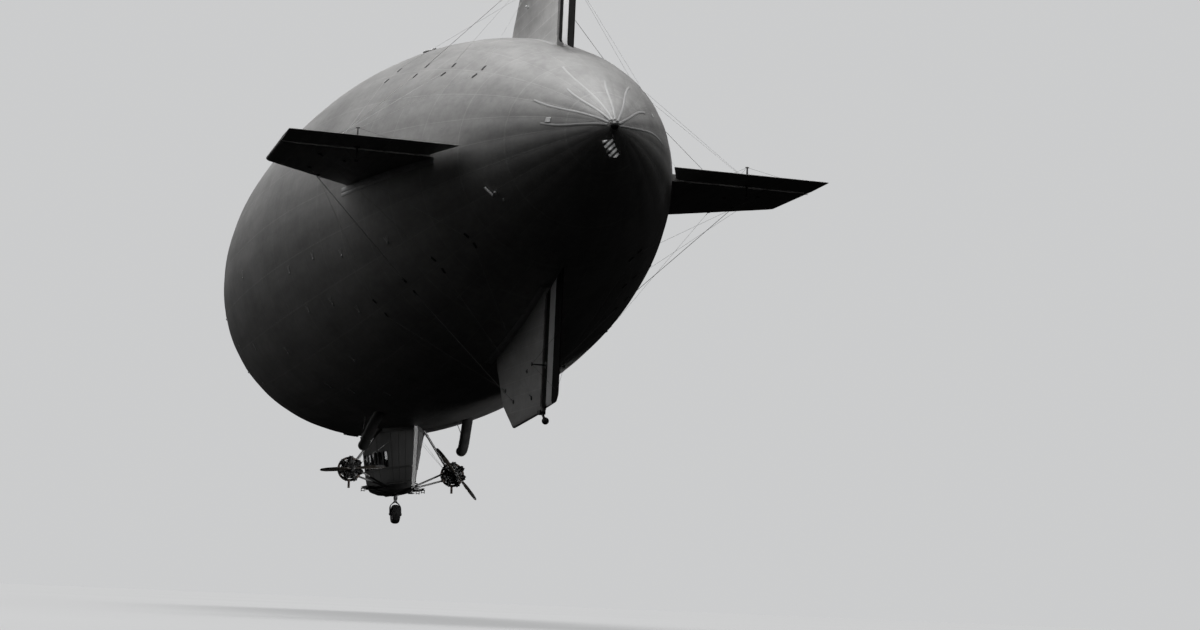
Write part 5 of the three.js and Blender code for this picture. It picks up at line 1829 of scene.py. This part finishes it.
def make_door():
    """The door: its leaf with a raised lower panel, pane, handle and hinges, and the stop behind it."""
    low, high = SIDE_DOOR_BOTTOM + DOOR_CLEARANCE, SIDE_DOOR_TOP - DOOR_CLEARANCE
    aft, forward = DOOR_AFT + DOOR_CLEARANCE, DOOR_FORWARD - DOOR_CLEARANCE
    leaf = Sketch()
    outer = rounded_outline(aft, forward, low, high, 0.06)
    inner = rounded_outline(3.36, 3.84, SIDE_WINDOW_SILL, SIDE_WINDOW_HEAD, 0.05)
    leaf.grid(side_rings((inner, -0.046), (outer, -0.046), (outer, -0.004), (inner, -0.004)),
              close_rows=True, close_columns=True)
    frame_on_surface(leaf, inner, lambda u, v, out: against_side(u, out - 0.004, v), 0.03, 0.013)
    panel_low, panel_high = low + 0.05, SIDE_WINDOW_SILL - 0.07
    panel = rounded_outline(aft + 0.06, forward - 0.06, panel_low, panel_high, 0.05)
    middle_u, middle_v = (aft + forward) / 2, (panel_low + panel_high) / 2
    raised = []
    for shrink, out in ((0.0, -0.006), (0.036, 0.003), (0.09, 0.004)):
        raised.append(([(u + (middle_u - u) * shrink, v + (middle_v - v) * shrink) for u, v in panel], out))
    leaf.loft(side_rings(*raised))
    leaf.piece("door_leaf", CAR_PAINT, body="door", slot="car_skin", replaces=["car_door"],
               smooth_degrees=35)

    fittings = Sketch()
    handle_v = along_side(WINDOW_SILL - 0.1)
    fittings.tube([against_side(HANDLE_X, -0.005, handle_v), against_side(HANDLE_X, 0.038, handle_v)],
                  0.006, 12)
    grip = [(3.275, 0.042), (3.3, 0.046), (3.36, 0.048), (3.42, 0.044)]
    fittings.tube(smooth_path([against_side(x, out, handle_v) for x, out in grip], 12),
                  [0.0055 - 0.0015 * i / 12 for i in range(13)], 12)
    outward = (against_side(HANDLE_X, 1, handle_v) - against_side(HANDLE_X, 0, handle_v)).normalized()
    fittings.turned([(-0.002, 0.0), (-0.002, 0.016), (0.003, 0.015), (0.005, 0.009), (0.005, 0.0)],
                    against_side(HANDLE_X, -0.004, handle_v), outward, 20)
    for v in (low + 0.2, (low + high) / 2, high - 0.2):
        fittings.tube([against_side(forward, 0, v - 0.05), against_side(forward, 0, v + 0.05)], 0.005, 12)
        plate = rounded_outline(forward - 0.11, forward - 0.03, v - 0.035, v + 0.035, 0.012, 3)
        fittings.loft(side_rings((plate, -0.004), (plate, 0.004)))
    fittings.piece("door_fittings", BARE_METAL, body="door", slot="hub_aluminium")

    pane = Sketch()
    outline = rounded_outline(3.35, 3.85, SIDE_WINDOW_SILL - 0.01, SIDE_WINDOW_HEAD + 0.01, 0.05)
    pane.loft(side_rings((outline, -0.03), (outline, -0.02)))
    pane.piece("door_pane", GLASS, body="door", slot="glass")

    stop = Sketch()
    edge, opening = [rounded_outline(DOOR_AFT + inset, DOOR_FORWARD - inset, SIDE_DOOR_BOTTOM + inset,
                                     SIDE_DOOR_TOP - inset, corner)
                     for inset, corner in ((-0.015, 0.08), (0.032, 0.05))]
    stop.grid(side_rings((edge, -0.072), (edge, -0.062), (opening, -0.062), (opening, -0.072)),
              close_rows=True, close_columns=True)
    stop.piece("door_stop", FRAME_PAINT, slot="car_skin")


def make_step():
    step = Sketch()
    for x in STEP_SIDES_X:
        step.tube(smooth_path([full(x, -0.5, -8.06), full(x, -0.6, -8.12), full(x, -0.68, -8.2)], 8), 0.007,
                  10)
    step.box((3.36, -0.76, -8.215), (3.84, -0.6, -8.19), 0.004)
    for y in [-0.62 - 0.024 * i for i in range(6)]:
        step.box((3.38, y - 0.004, -8.19), (3.82, y + 0.004, -8.184))
    step.piece("door_step", TUBE_PAINT, slot="tube_paint", smooth_degrees=30)


make_car_shell()
make_fairing()
make_window_frames()
make_rails()
make_rivets()
make_handrail()
make_door()
make_step()

# Landing gear: one wheel that casters

WHEEL_X, WHEEL_Z = 2.9, -9.0
WHEEL_CENTRE = full(WHEEL_X, 0, WHEEL_Z)
WHEEL_HALF = 0.14
RIM_RADIUS = 0.19
WALL_MIDDLE, WALL_REACH = 0.262, 0.078
TREAD_STEPS = 64
SWIVEL_X = 3.02
CROWN_Z = -8.513
STRUT_TOP_Z = -8.2


def by_wheel(y, radius, angle):
    """A point of a circle about the wheel's axle."""
    return full(WHEEL_X + radius * math.cos(angle), y, WHEEL_Z + radius * math.sin(angle))


def make_tyre():
    """The tyre: a round-shouldered tread with five grooves, and beads on its walls."""
    profile = []
    for step in range(TREAD_STEPS + 1):
        angle = math.radians(-128 + 256 * step / TREAD_STEPS)
        sine, cosine = math.sin(angle), math.cos(angle)
        across = WHEEL_HALF * 0.97 * math.copysign(abs(sine) ** 0.95, sine)
        reach = WALL_MIDDLE + WALL_REACH * math.copysign(abs(cosine) ** 0.8, cosine)
        in_groove = cosine > 0.3 and (abs(across) + 0.005) % 0.03 < 0.01
        profile.append((across, reach - (0.007 if in_groove else 0.0)))
    profile += [(0.09, RIM_RADIUS), (-0.09, RIM_RADIUS)]
    sketch = Sketch()
    sketch.turned(sized(profile), WHEEL_CENTRE, (0, 1, 0), 80)
    for side in (-1, 1):
        bead = [by_wheel(side * WHEEL_HALF * 0.93, WALL_MIDDLE, angle) for angle in turns(64)]
        sketch.tube(bead, 0.0028, 8, closed=True)
    sketch.piece("tyre_tread", RUBBER, body="wheel", slot="tyre_rubber", replaces=["tyre"],
                 smooth_degrees=28)


def make_wheel_hub():
    rim = RIM_RADIUS - 0.001
    half = [(0.15, 0.036), (0.15, 0.055), (0.145, 0.06), (0.1, 0.066), (0.05, 0.07), (0.045, 0.12),
            (0.06, 0.165), (0.088, 0.17), (0.092, rim - 0.006), (0.086, rim)]
    profile = [(-along, reach) for along, reach in half] + half[::-1]
    sketch = Sketch()
    sketch.turned(sized(profile), WHEEL_CENTRE, (0, 1, 0), 64)
    for side in (-1, 1):
        for angle in turns(8):
            sketch.stud(by_wheel(side * 0.046, 0.098, angle), (0, side, 0), 0.006, 0.004, 0.006, 0.003,
                        base=-0.002)
    sketch.piece("wheel_hub_disc", BARE_METAL, body="wheel", slot="hub_aluminium", replaces=["wheel_hub"])


CROWN = [(0.0, 0.0), (0.0, 0.058), (0.006, 0.064), (0.03, 0.064), (0.036, 0.058), (0.06, 0.058), (0.06, 0.0)]
AXLE_BOSS = [(-0.022, 0.0), (-0.022, 0.05), (-0.016, 0.056), (0.018, 0.056), (0.026, 0.048), (0.026, 0.034),
             (0.036, 0.032), (0.036, 0.0)]

# Half of the fork, from its middle to the axle: inner and outer face as (y, z), place along, half-width

FORK_STATIONS = [
    ((0.0, -8.588), (0.0, -8.516), SWIVEL_X, 0.05),
    ((0.05, -8.612), (0.06, -8.555), SWIVEL_X, 0.052),
    ((0.1, -8.642), (0.12, -8.615), SWIVEL_X - 0.008, 0.055),
    ((0.15, -8.69), (0.18, -8.69), SWIVEL_X - 0.025, 0.058),
    ((0.166, -8.75), (0.21, -8.77), SWIVEL_X - 0.045, 0.06),
    ((0.168, -8.88), (0.215, -8.88), SWIVEL_X - 0.085, 0.054),
    ((0.168, -9.03), (0.214, -9.03), WHEEL_X, 0.046),
]
FORK_STEPS = 26


def rounded_share(value):
    """A sine or cosine, drawn out so that a circle becomes a square with round corners."""
    return math.copysign(abs(value) ** 0.6, value)


def make_wheel_fork():
    """A wide fork: a crown over the tyre that runs into two flat legs close to the tyre's walls."""
    leg_y = WHEEL_HALF + 0.052
    sketch = Sketch()
    sketch.turned(sized(CROWN), full(SWIVEL_X, 0, CROWN_Z), (0, 0, -1), 40)
    sketch.rod((SWIVEL_X, 0, CROWN_Z - 0.01), (SWIVEL_X, 0, CROWN_Z + 0.04), 0.016, 24)
    inner = smooth_path([(x, y, z) for (y, z), _, x, _ in FORK_STATIONS], FORK_STEPS)
    outer = smooth_path([(x, y, z) for _, (y, z), x, _ in FORK_STATIONS], FORK_STEPS)
    wide = smooth_path([(half, 0, 0) for _, _, _, half in FORK_STATIONS], FORK_STEPS)
    rings = []
    for i in [*range(FORK_STEPS, 0, -1), *range(FORK_STEPS + 1)]:
        side = -1 if len(rings) < FORK_STEPS else 1
        near, far = mirrored(side, inner[i]), mirrored(side, outer[i])
        middle, reach = (near + far) / 2, (far - near) / 2
        rings.append([full(*(middle + Vector((wide[i].x * rounded_share(math.cos(angle)), 0, 0))
                             + reach * rounded_share(math.sin(angle)))) for angle in turns(20)])
    sketch.loft(rings)
    for side in (-1, 1):
        sketch.turned(sized(AXLE_BOSS), full(WHEEL_X, side * leg_y, WHEEL_Z), (0, side, 0), 32)
    sketch.rod((WHEEL_X, -leg_y, WHEEL_Z), (WHEEL_X, leg_y, WHEEL_Z), 0.0145, 24)
    sketch.piece("wheel_fork_legs", TUBE_PAINT, body="wheel_fork", slot="tube_paint",
                 replaces=["wheel_fork"])


STRUT = [(0.0, 0.0), (0.0, 0.13), (0.045, 0.13), (0.05, 0.124), (0.1, 0.122), (0.125, 0.108),
         (0.13, 0.07), (0.2, 0.067), (0.205, 0.076), (0.232, 0.076), (0.237, 0.067), (0.285, 0.067),
         (0.298, 0.06), (0.298, 0.0)]


def make_landing_strut():
    sketch = Sketch()
    sketch.turned(sized(STRUT), full(SWIVEL_X, 0, STRUT_TOP_Z), (0, 0, -1), 48)
    for angle in turns(10):
        spot = full(SWIVEL_X + 0.105 * math.cos(angle), 0.105 * math.sin(angle), STRUT_TOP_Z - 0.118)
        sketch.stud(spot, (0, 0, -1), 0.006, 0.005, 0.007, 0.003)
    sketch.piece("landing_strut_tube", TUBE_PAINT, slot="tube_paint", replaces=["landing_strut"])


RACK_Y, RACK_HALF = 1.01, 0.04
RACK_FROM, RACK_TO = 3.0, 4.2
RACK_HOLES_X = (3.3, 3.45, 3.6, 3.75, 3.9)
RACK_ARMS_X = (3.15, 4.05)
HOOK_INNER_Y, HOOK_OUTER_Y = 0.955, 1.065


def make_racks():
    """Empty store racks: a channel beam with lightening holes' rims, arms and sway hooks."""
    for side_name, sign in SIDES.items():
        sketch = Sketch()
        for low_z in (-8.1, -8.03):
            sketch.box((RACK_FROM, sign * RACK_Y - RACK_HALF, low_z),
                       (RACK_TO, sign * RACK_Y + RACK_HALF, low_z + 0.01), 0.0015)
        sketch.box((RACK_FROM + 0.002, sign * RACK_Y - 0.008, -8.095),
                   (RACK_TO - 0.002, sign * RACK_Y + 0.008, -8.025))
        for x in RACK_HOLES_X:
            sketch.turned([(-0.007, 0.0), (-0.007, 0.012), (0.007, 0.012), (0.007, 0.0)],
                          full(x, sign * RACK_Y, -8.06), (0, 1, 0), 20)
        for x in RACK_ARMS_X:
            near, far = sorted((sign * (car_half(x, -8.06) - 0.02), sign * 1.0))
            sketch.box((x - 0.03, near, -8.09), (x + 0.03, far, -8.03), 0.004)
            sketch.rod((x, sign * 0.3, -8.24), (x, sign * 1.0, -8.075), 0.009, 16)
            for across in (HOOK_INNER_Y, HOOK_OUTER_Y):
                sketch.box((x - 0.045, sign * across - 0.006, -8.2),
                           (x + 0.045, sign * across + 0.006, -8.06), 0.0025)
            for at_x, at_z, radius, sides in ((x, -8.17, 0.006, 12), (x - 0.03, -8.09, 0.004, 10)):
                sketch.rod((at_x, sign * HOOK_INNER_Y, at_z), (at_x, sign * HOOK_OUTER_Y, at_z), radius,
                           sides)
        sketch.piece(f"store_rack_{side_name}_frame", TUBE_PAINT, slot="tube_paint",
                     replaces=[f"store_rack_{side_name}"], smooth_degrees=35)


BUMPER_TOP, BUMPER_BALL = full(-16.62, 0, -6.755), full(-17.1, 0, -7.06)
BALL_RADIUS_MODEL = 0.0495


def make_tail_bumper():
    sketch = Sketch()
    sketch.tube(smooth_path([BUMPER_TOP, BUMPER_TOP.lerp(BUMPER_BALL, 0.5), BUMPER_BALL], 10),
                [0.02 - 0.0004 * i for i in range(11)], 20)
    bends = [math.pi * i / 20 for i in range(1, 20)]
    ball = [(-BALL_RADIUS_MODEL * math.cos(bend), BALL_RADIUS_MODEL * math.sin(bend)) for bend in bends]
    sketch.turned([(-BALL_RADIUS_MODEL, 0.0), *ball, (BALL_RADIUS_MODEL, 0.0)], BUMPER_BALL,
                  BUMPER_BALL - BUMPER_TOP, 36)
    along = (BUMPER_BALL - BUMPER_TOP).normalized()
    sketch.tube([BUMPER_BALL - along * 0.062, BUMPER_BALL - along * 0.048], 0.027, 24)
    sketch.box((-16.78, -0.088, -6.86), (-16.5, 0.088, -6.735), 0.008, 3)
    sketch.piece("tail_bumper_ball", TUBE_PAINT, slot="tube_paint", replaces=["tail_bumper"],
                 smooth_degrees=45)

make_tyre()
make_wheel_hub()
make_wheel_fork()
make_landing_strut()
make_racks()
make_tail_bumper()

# Inside the car

SEAT_MIDDLE_Y = 0.29
SEAT_HALF = 0.2
SEAT_FLOOR = -7.9295
SEAT_FRAME_Z = -7.55
SEAT_LEGS_X = (5.1, 5.35)
CUSHION_PRESSURE = 4.0
CLOTH_STEPS = 20


def shaped_by_modifiers(made):
    """Takes what an object's modifiers make of it as its mesh."""
    shaped = bpy.data.meshes.new_from_object(made.evaluated_get(bpy.context.evaluated_depsgraph_get()))
    made.modifiers.clear()
    made.data = shaped
    return shaped


def cushion(name, sketch, cap_mm):
    """A cushion: a slightly small closed form that is blown up by a short cloth simulation."""
    made = sketch.loose(name)
    remesh = made.modifiers.new("remesh", "REMESH")
    remesh.mode = "VOXEL"
    remesh.voxel_size = 0.005
    at_rest = [vertex.co.copy() for vertex in shaped_by_modifiers(made).vertices]
    cloth = made.modifiers.new("cloth", "CLOTH")
    cloth.settings.use_pressure = True
    cloth.settings.uniform_pressure_force = CUSHION_PRESSURE
    cloth.settings.effector_weights.gravity = 0
    cloth.settings.quality = 6
    cloth.point_cache.frame_start = 1
    cloth.point_cache.frame_end = CLOTH_STEPS
    for step in range(1, CLOTH_STEPS + 1):
        bpy.context.scene.frame_set(step)
    swelled = shaped_by_modifiers(made)
    bpy.context.scene.frame_set(1)
    cap = cap_mm / 1000
    for vertex, start in zip(swelled.vertices, at_rest):
        move = vertex.co - start
        if move.length > cap:
            vertex.co = start + move.normalized() * cap
    smooth = made.modifiers.new("smooth", "SUBSURF")
    smooth.levels = 1
    smooth.render_levels = 1
    shaped_by_modifiers(made)
    dress(made, LEATHER)


def pad(low, high, crown):
    """A pad between two corners in full-size metres, with a crowned top and sides that pull in."""
    low, high = Vector(low), Vector(high)
    middle, half = (low + high) / 2, (high - low) / 2

    def squared(value):
        return math.copysign(abs(value) ** 0.28, value)

    def crowned(x, y, rise):
        lift = crown * max(0.0, (1 - x * x)) * max(0.0, (1 - y * y)) * rise
        return full(middle.x + half.x * x, middle.y + half.y * y, middle.z + (half.z - crown) * rise + lift)

    layers = []
    for level in range(9):
        rise = -1 + 2 * level / 8
        tuck = 1 - 0.09 * abs(rise) ** 3
        layer = []
        for angle in turns(56, 0.5):
            x, y = squared(math.cos(angle)), squared(math.sin(angle))
            pull = 1 - 0.035 * (1 - abs(x * y) ** 4) * (1 - rise * rise * 0.4)
            layer.append((x * tuck * pull, y * tuck * pull, rise))
        layers.append(layer)
    below = [[(x * shrink, y * shrink, -1) for x, y, _ in layers[0]] for shrink in (0.12, 0.35, 0.6, 0.82)]
    above = [[(x * shrink, y * shrink, 1) for x, y, _ in layers[-1]] for shrink in (0.82, 0.6, 0.35, 0.12)]
    sketch = Sketch()
    sketch.loft([[crowned(*place) for place in layer] for layer in below + layers + above])
    return sketch


def make_seats():
    for side_name, sign in SIDES.items():
        y = SEAT_MIDDLE_Y * sign
        cushion(f"seat_cushion_{side_name}", pad((5.035, y - 0.2, -7.545), (5.475, y + 0.2, -7.462), 0.016),
                7)
        cushion(f"seat_back_{side_name}", pad((4.965, y - 0.19, -7.44), (5.028, y + 0.19, -7.01), 0.01), 6)
        frame = Sketch()
        edge = [(4.95, SEAT_HALF, SEAT_FRAME_Z), (4.948, SEAT_HALF, -7.3), (4.946, SEAT_HALF, -7.05),
                (4.946, SEAT_HALF * 0.8, -7.005)]
        hoop = [(x, -across, z) for x, across, z in edge] + [(4.946, 0, -7.0)] + edge[::-1]
        frame.tube(smooth_path([full(x, y + across, z) for x, across, z in hoop], 48), 0.006, 12)
        for across in (-SEAT_HALF, SEAT_HALF):
            frame.rod((4.95, y + across, SEAT_FRAME_Z), (5.47, y + across * 0.98, SEAT_FRAME_Z - 0.002),
                      0.006, 12)
        frame.box((4.98, y - SEAT_HALF, -7.562), (5.47, y + SEAT_HALF, -7.548), 0.002)
        for leg_x in SEAT_LEGS_X:
            for across in (-0.1, 0.1):
                frame.rod((leg_x, y + across, -7.56),
                          (leg_x + (leg_x - 5.22) * 0.1, y + across, SEAT_FLOOR), 0.007, 12)
        for leg_x in SEAT_LEGS_X:
            frame.rod((leg_x, y - 0.1, -7.8), (leg_x, y + 0.1, -7.8), 0.005, 10)
        frame.piece(f"seat_frame_{side_name}", TUBE_PAINT, slot="tube_paint",
                    replaces=[f"pilot_seat_{side_name}"])


def make_bench():
    cushion("bench_cushion", pad((2.47, -0.41, -7.6), (2.838, 0.41, -7.522), 0.014), 7)
    cushion("bench_back", pad((2.4, -0.41, -7.5), (2.468, 0.41, -7.11), 0.01), 6)
    locker = Sketch()
    locker.box((2.42, -0.415, SEAT_FLOOR), (2.83, 0.415, -7.608), 0.006)
    for y in (-0.28, 0.0, 0.28):
        locker.box((2.828, y - 0.12, -7.89), (2.836, y + 0.12, -7.66), 0.002)
        locker.rod((2.838, y - 0.03, -7.72), (2.838, y + 0.03, -7.72), 0.003, 10)
    locker.box((2.385, -0.41, -7.6), (2.402, 0.41, -7.12), 0.003)
    locker.piece("bench_locker", VARNISHED_WOOD, slot="seat_leather", replaces=["cabin_bench"])


PANEL_FACE_X = 5.864
DIAL_ROWS = [(-7.06, 0.024), (-7.2, 0.024), (-7.33, 0.016)]


def make_panel():
    """The instrument panel on its pedestal, with three rows of dials."""
    panel = Sketch()
    panel.box((5.865, -0.415, -7.395), (5.955, 0.415, -6.965), 0.008, 3)
    panel.box((5.865, -0.155, SEAT_FLOOR), (5.925, 0.155, -7.38), 0.006)
    panel.piece("instrument_panel_board", BLACK_PAINT, slot="panel_paint", replaces=["instrument_panel"])
    dials, faces = Sketch(), Sketch()
    for row, (z, radius) in enumerate(DIAL_ROWS):
        rim = [(-0.002, 0.0), (-0.002, radius), (0.004, radius), (0.005, radius * 0.86),
               (0.002, radius * 0.84), (0.002, 0.0)]
        face = [(0.0, 0.0), (0.0, radius * 0.82), (0.0026, radius * 0.82), (0.0026, 0.0)]
        for k in range(6 - row % 2):
            spot = full(PANEL_FACE_X, -0.33 + 0.132 * k + 0.066 * (row % 2), z)
            dials.turned(rim, spot, (-1, 0, 0), 28)
            faces.turned(face, spot, (-1, 0, 0), 24)
            reading = 2.1 * k + row
            needle = spot + Vector((-0.0032, 0, 0))
            dials.tube([needle, needle + Vector((0, math.sin(reading), math.cos(reading))) * radius * 0.7],
                       0.0006, 6)
    dials.piece("dial_rims", DARK_METAL, slot="panel_paint")
    faces.piece("dial_faces", WHITE_PAINT_AND_GLINT, slot="panel_paint")


TRIM_X, TRIM_Z, TRIM_RADIUS = 5.7, -7.62, 0.12
YOKE_X, YOKE_Z = 5.675, -7.36


def make_controls():
    """A trim wheel, a column with its yoke, and two pedals for each pilot."""
    controls = Sketch()
    for sign in (1, -1):
        y = SEAT_MIDDLE_Y * sign
        trim_y = y - sign * 0.25

        def by_trim(angle):
            return (TRIM_X + TRIM_RADIUS * math.cos(angle), trim_y, TRIM_Z + TRIM_RADIUS * math.sin(angle))

        controls.tube([full(*by_trim(angle)) for angle in turns(40)], 0.0055, 10, closed=True)
        for angle in turns(4, 0.5):
            controls.rod((TRIM_X, trim_y, TRIM_Z), by_trim(angle), 0.004, 8)
        controls.rod((TRIM_X, trim_y, TRIM_Z), (TRIM_X, trim_y, SEAT_FLOOR), 0.008, 12)
        controls.tube([full(5.8, y, SEAT_FLOOR), full(5.72, y, -7.8), full(5.68, y, -7.42)], 0.008, 12)
        yoke = [full(YOKE_X, y + 0.11 * math.cos(angle), YOKE_Z + 0.1 * math.sin(angle))
                for angle in turns(40)]
        controls.tube(yoke, 0.006, 10, closed=True)
        controls.rod((YOKE_X, y - 0.11, YOKE_Z), (YOKE_X, y + 0.11, YOKE_Z), 0.005, 10)
        controls.rod((5.68, y, -7.42), (YOKE_X, y, YOKE_Z), 0.007, 12)
        for pedal_y in (y - 0.09, y + 0.09):
            controls.box((5.76, pedal_y - 0.04, -7.87), (5.78, pedal_y + 0.04, -7.77), 0.003)
            controls.rod((5.775, pedal_y, -7.82), (5.82, pedal_y, SEAT_FLOOR), 0.005, 8)
    controls.piece("control_wheels", TUBE_PAINT, slot="tube_paint")


RADIO_BOXES = [(1.95, 2.3, -7.1, 0.2), (3.1, 3.48, -7.06, 0.24), (3.55, 3.86, -7.14, 0.24)]
TABLE_TOP, TABLE_OUTER_Y = -7.62, 0.52
KNOB = [(-0.001, 0.0), (-0.001, 0.009), (0.009, 0.008), (0.011, 0.0)]
RADIO_DIAL = [(-0.001, 0.0), (-0.001, 0.024), (0.003, 0.023), (0.004, 0.019), (0.001, 0.018), (0.001, 0.0)]


def make_radio_table():
    """The table on the port side with its radio boxes, opposite the door."""
    wood, boxes, knobs = Sketch(), Sketch(), Sketch()
    for low_x, high_x, high_z, depth in RADIO_BOXES:
        outer_y = min(car_half(low_x, TABLE_TOP), car_half(high_x, TABLE_TOP)) - 0.075
        front_y, height = outer_y - depth, high_z - TABLE_TOP
        boxes.box((low_x, front_y, TABLE_TOP), (high_x, outer_y, high_z), 0.006)
        for k in (1, 2, 3):
            knobs.turned(KNOB, full(low_x + (high_x - low_x) * k / 4, front_y, TABLE_TOP + height * 0.35),
                         (0, -1, 0), 18)
        knobs.turned(RADIO_DIAL, full((low_x + high_x) / 2, front_y, TABLE_TOP + height * 0.7), (0, -1, 0),
                     28)
    wood.box((3.02, TABLE_OUTER_Y - 0.34, -7.655), (3.95, TABLE_OUTER_Y + 0.02, -7.625), 0.003)
    for x in (3.05, 3.92):
        wood.rod((x, TABLE_OUTER_Y - 0.3, -7.65), (x, TABLE_OUTER_Y - 0.3, SEAT_FLOOR), 0.008, 12)
    cabinet_y = car_half(1.95, -7.9) - 0.09
    wood.box((1.96, cabinet_y - 0.24, SEAT_FLOOR), (2.3, cabinet_y - 0.02, -7.625), 0.005)
    wood.piece("radio_table", VARNISHED_WOOD, slot="floor_wood")
    boxes.piece("radio_boxes", BLACK_PAINT, slot="panel_paint")
    knobs.piece("radio_knobs", DARK_METAL, slot="panel_paint")


make_seats()
make_bench()
make_panel()
make_controls()
make_radio_table()

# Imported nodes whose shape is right: a procedural finish

NODE_FINISHES = {
    "car_floor": FLOOR_WOOD,
    "car_glazing": GLASS,
}
for fin_name in FINS:
    for stay in ("a", "b"):
        NODE_FINISHES[f"stay_{fin_name}_{stay}"] = WIRE

for node_name, node_finish in NODE_FINISHES.items():
    repaint(node_name, node_finish)
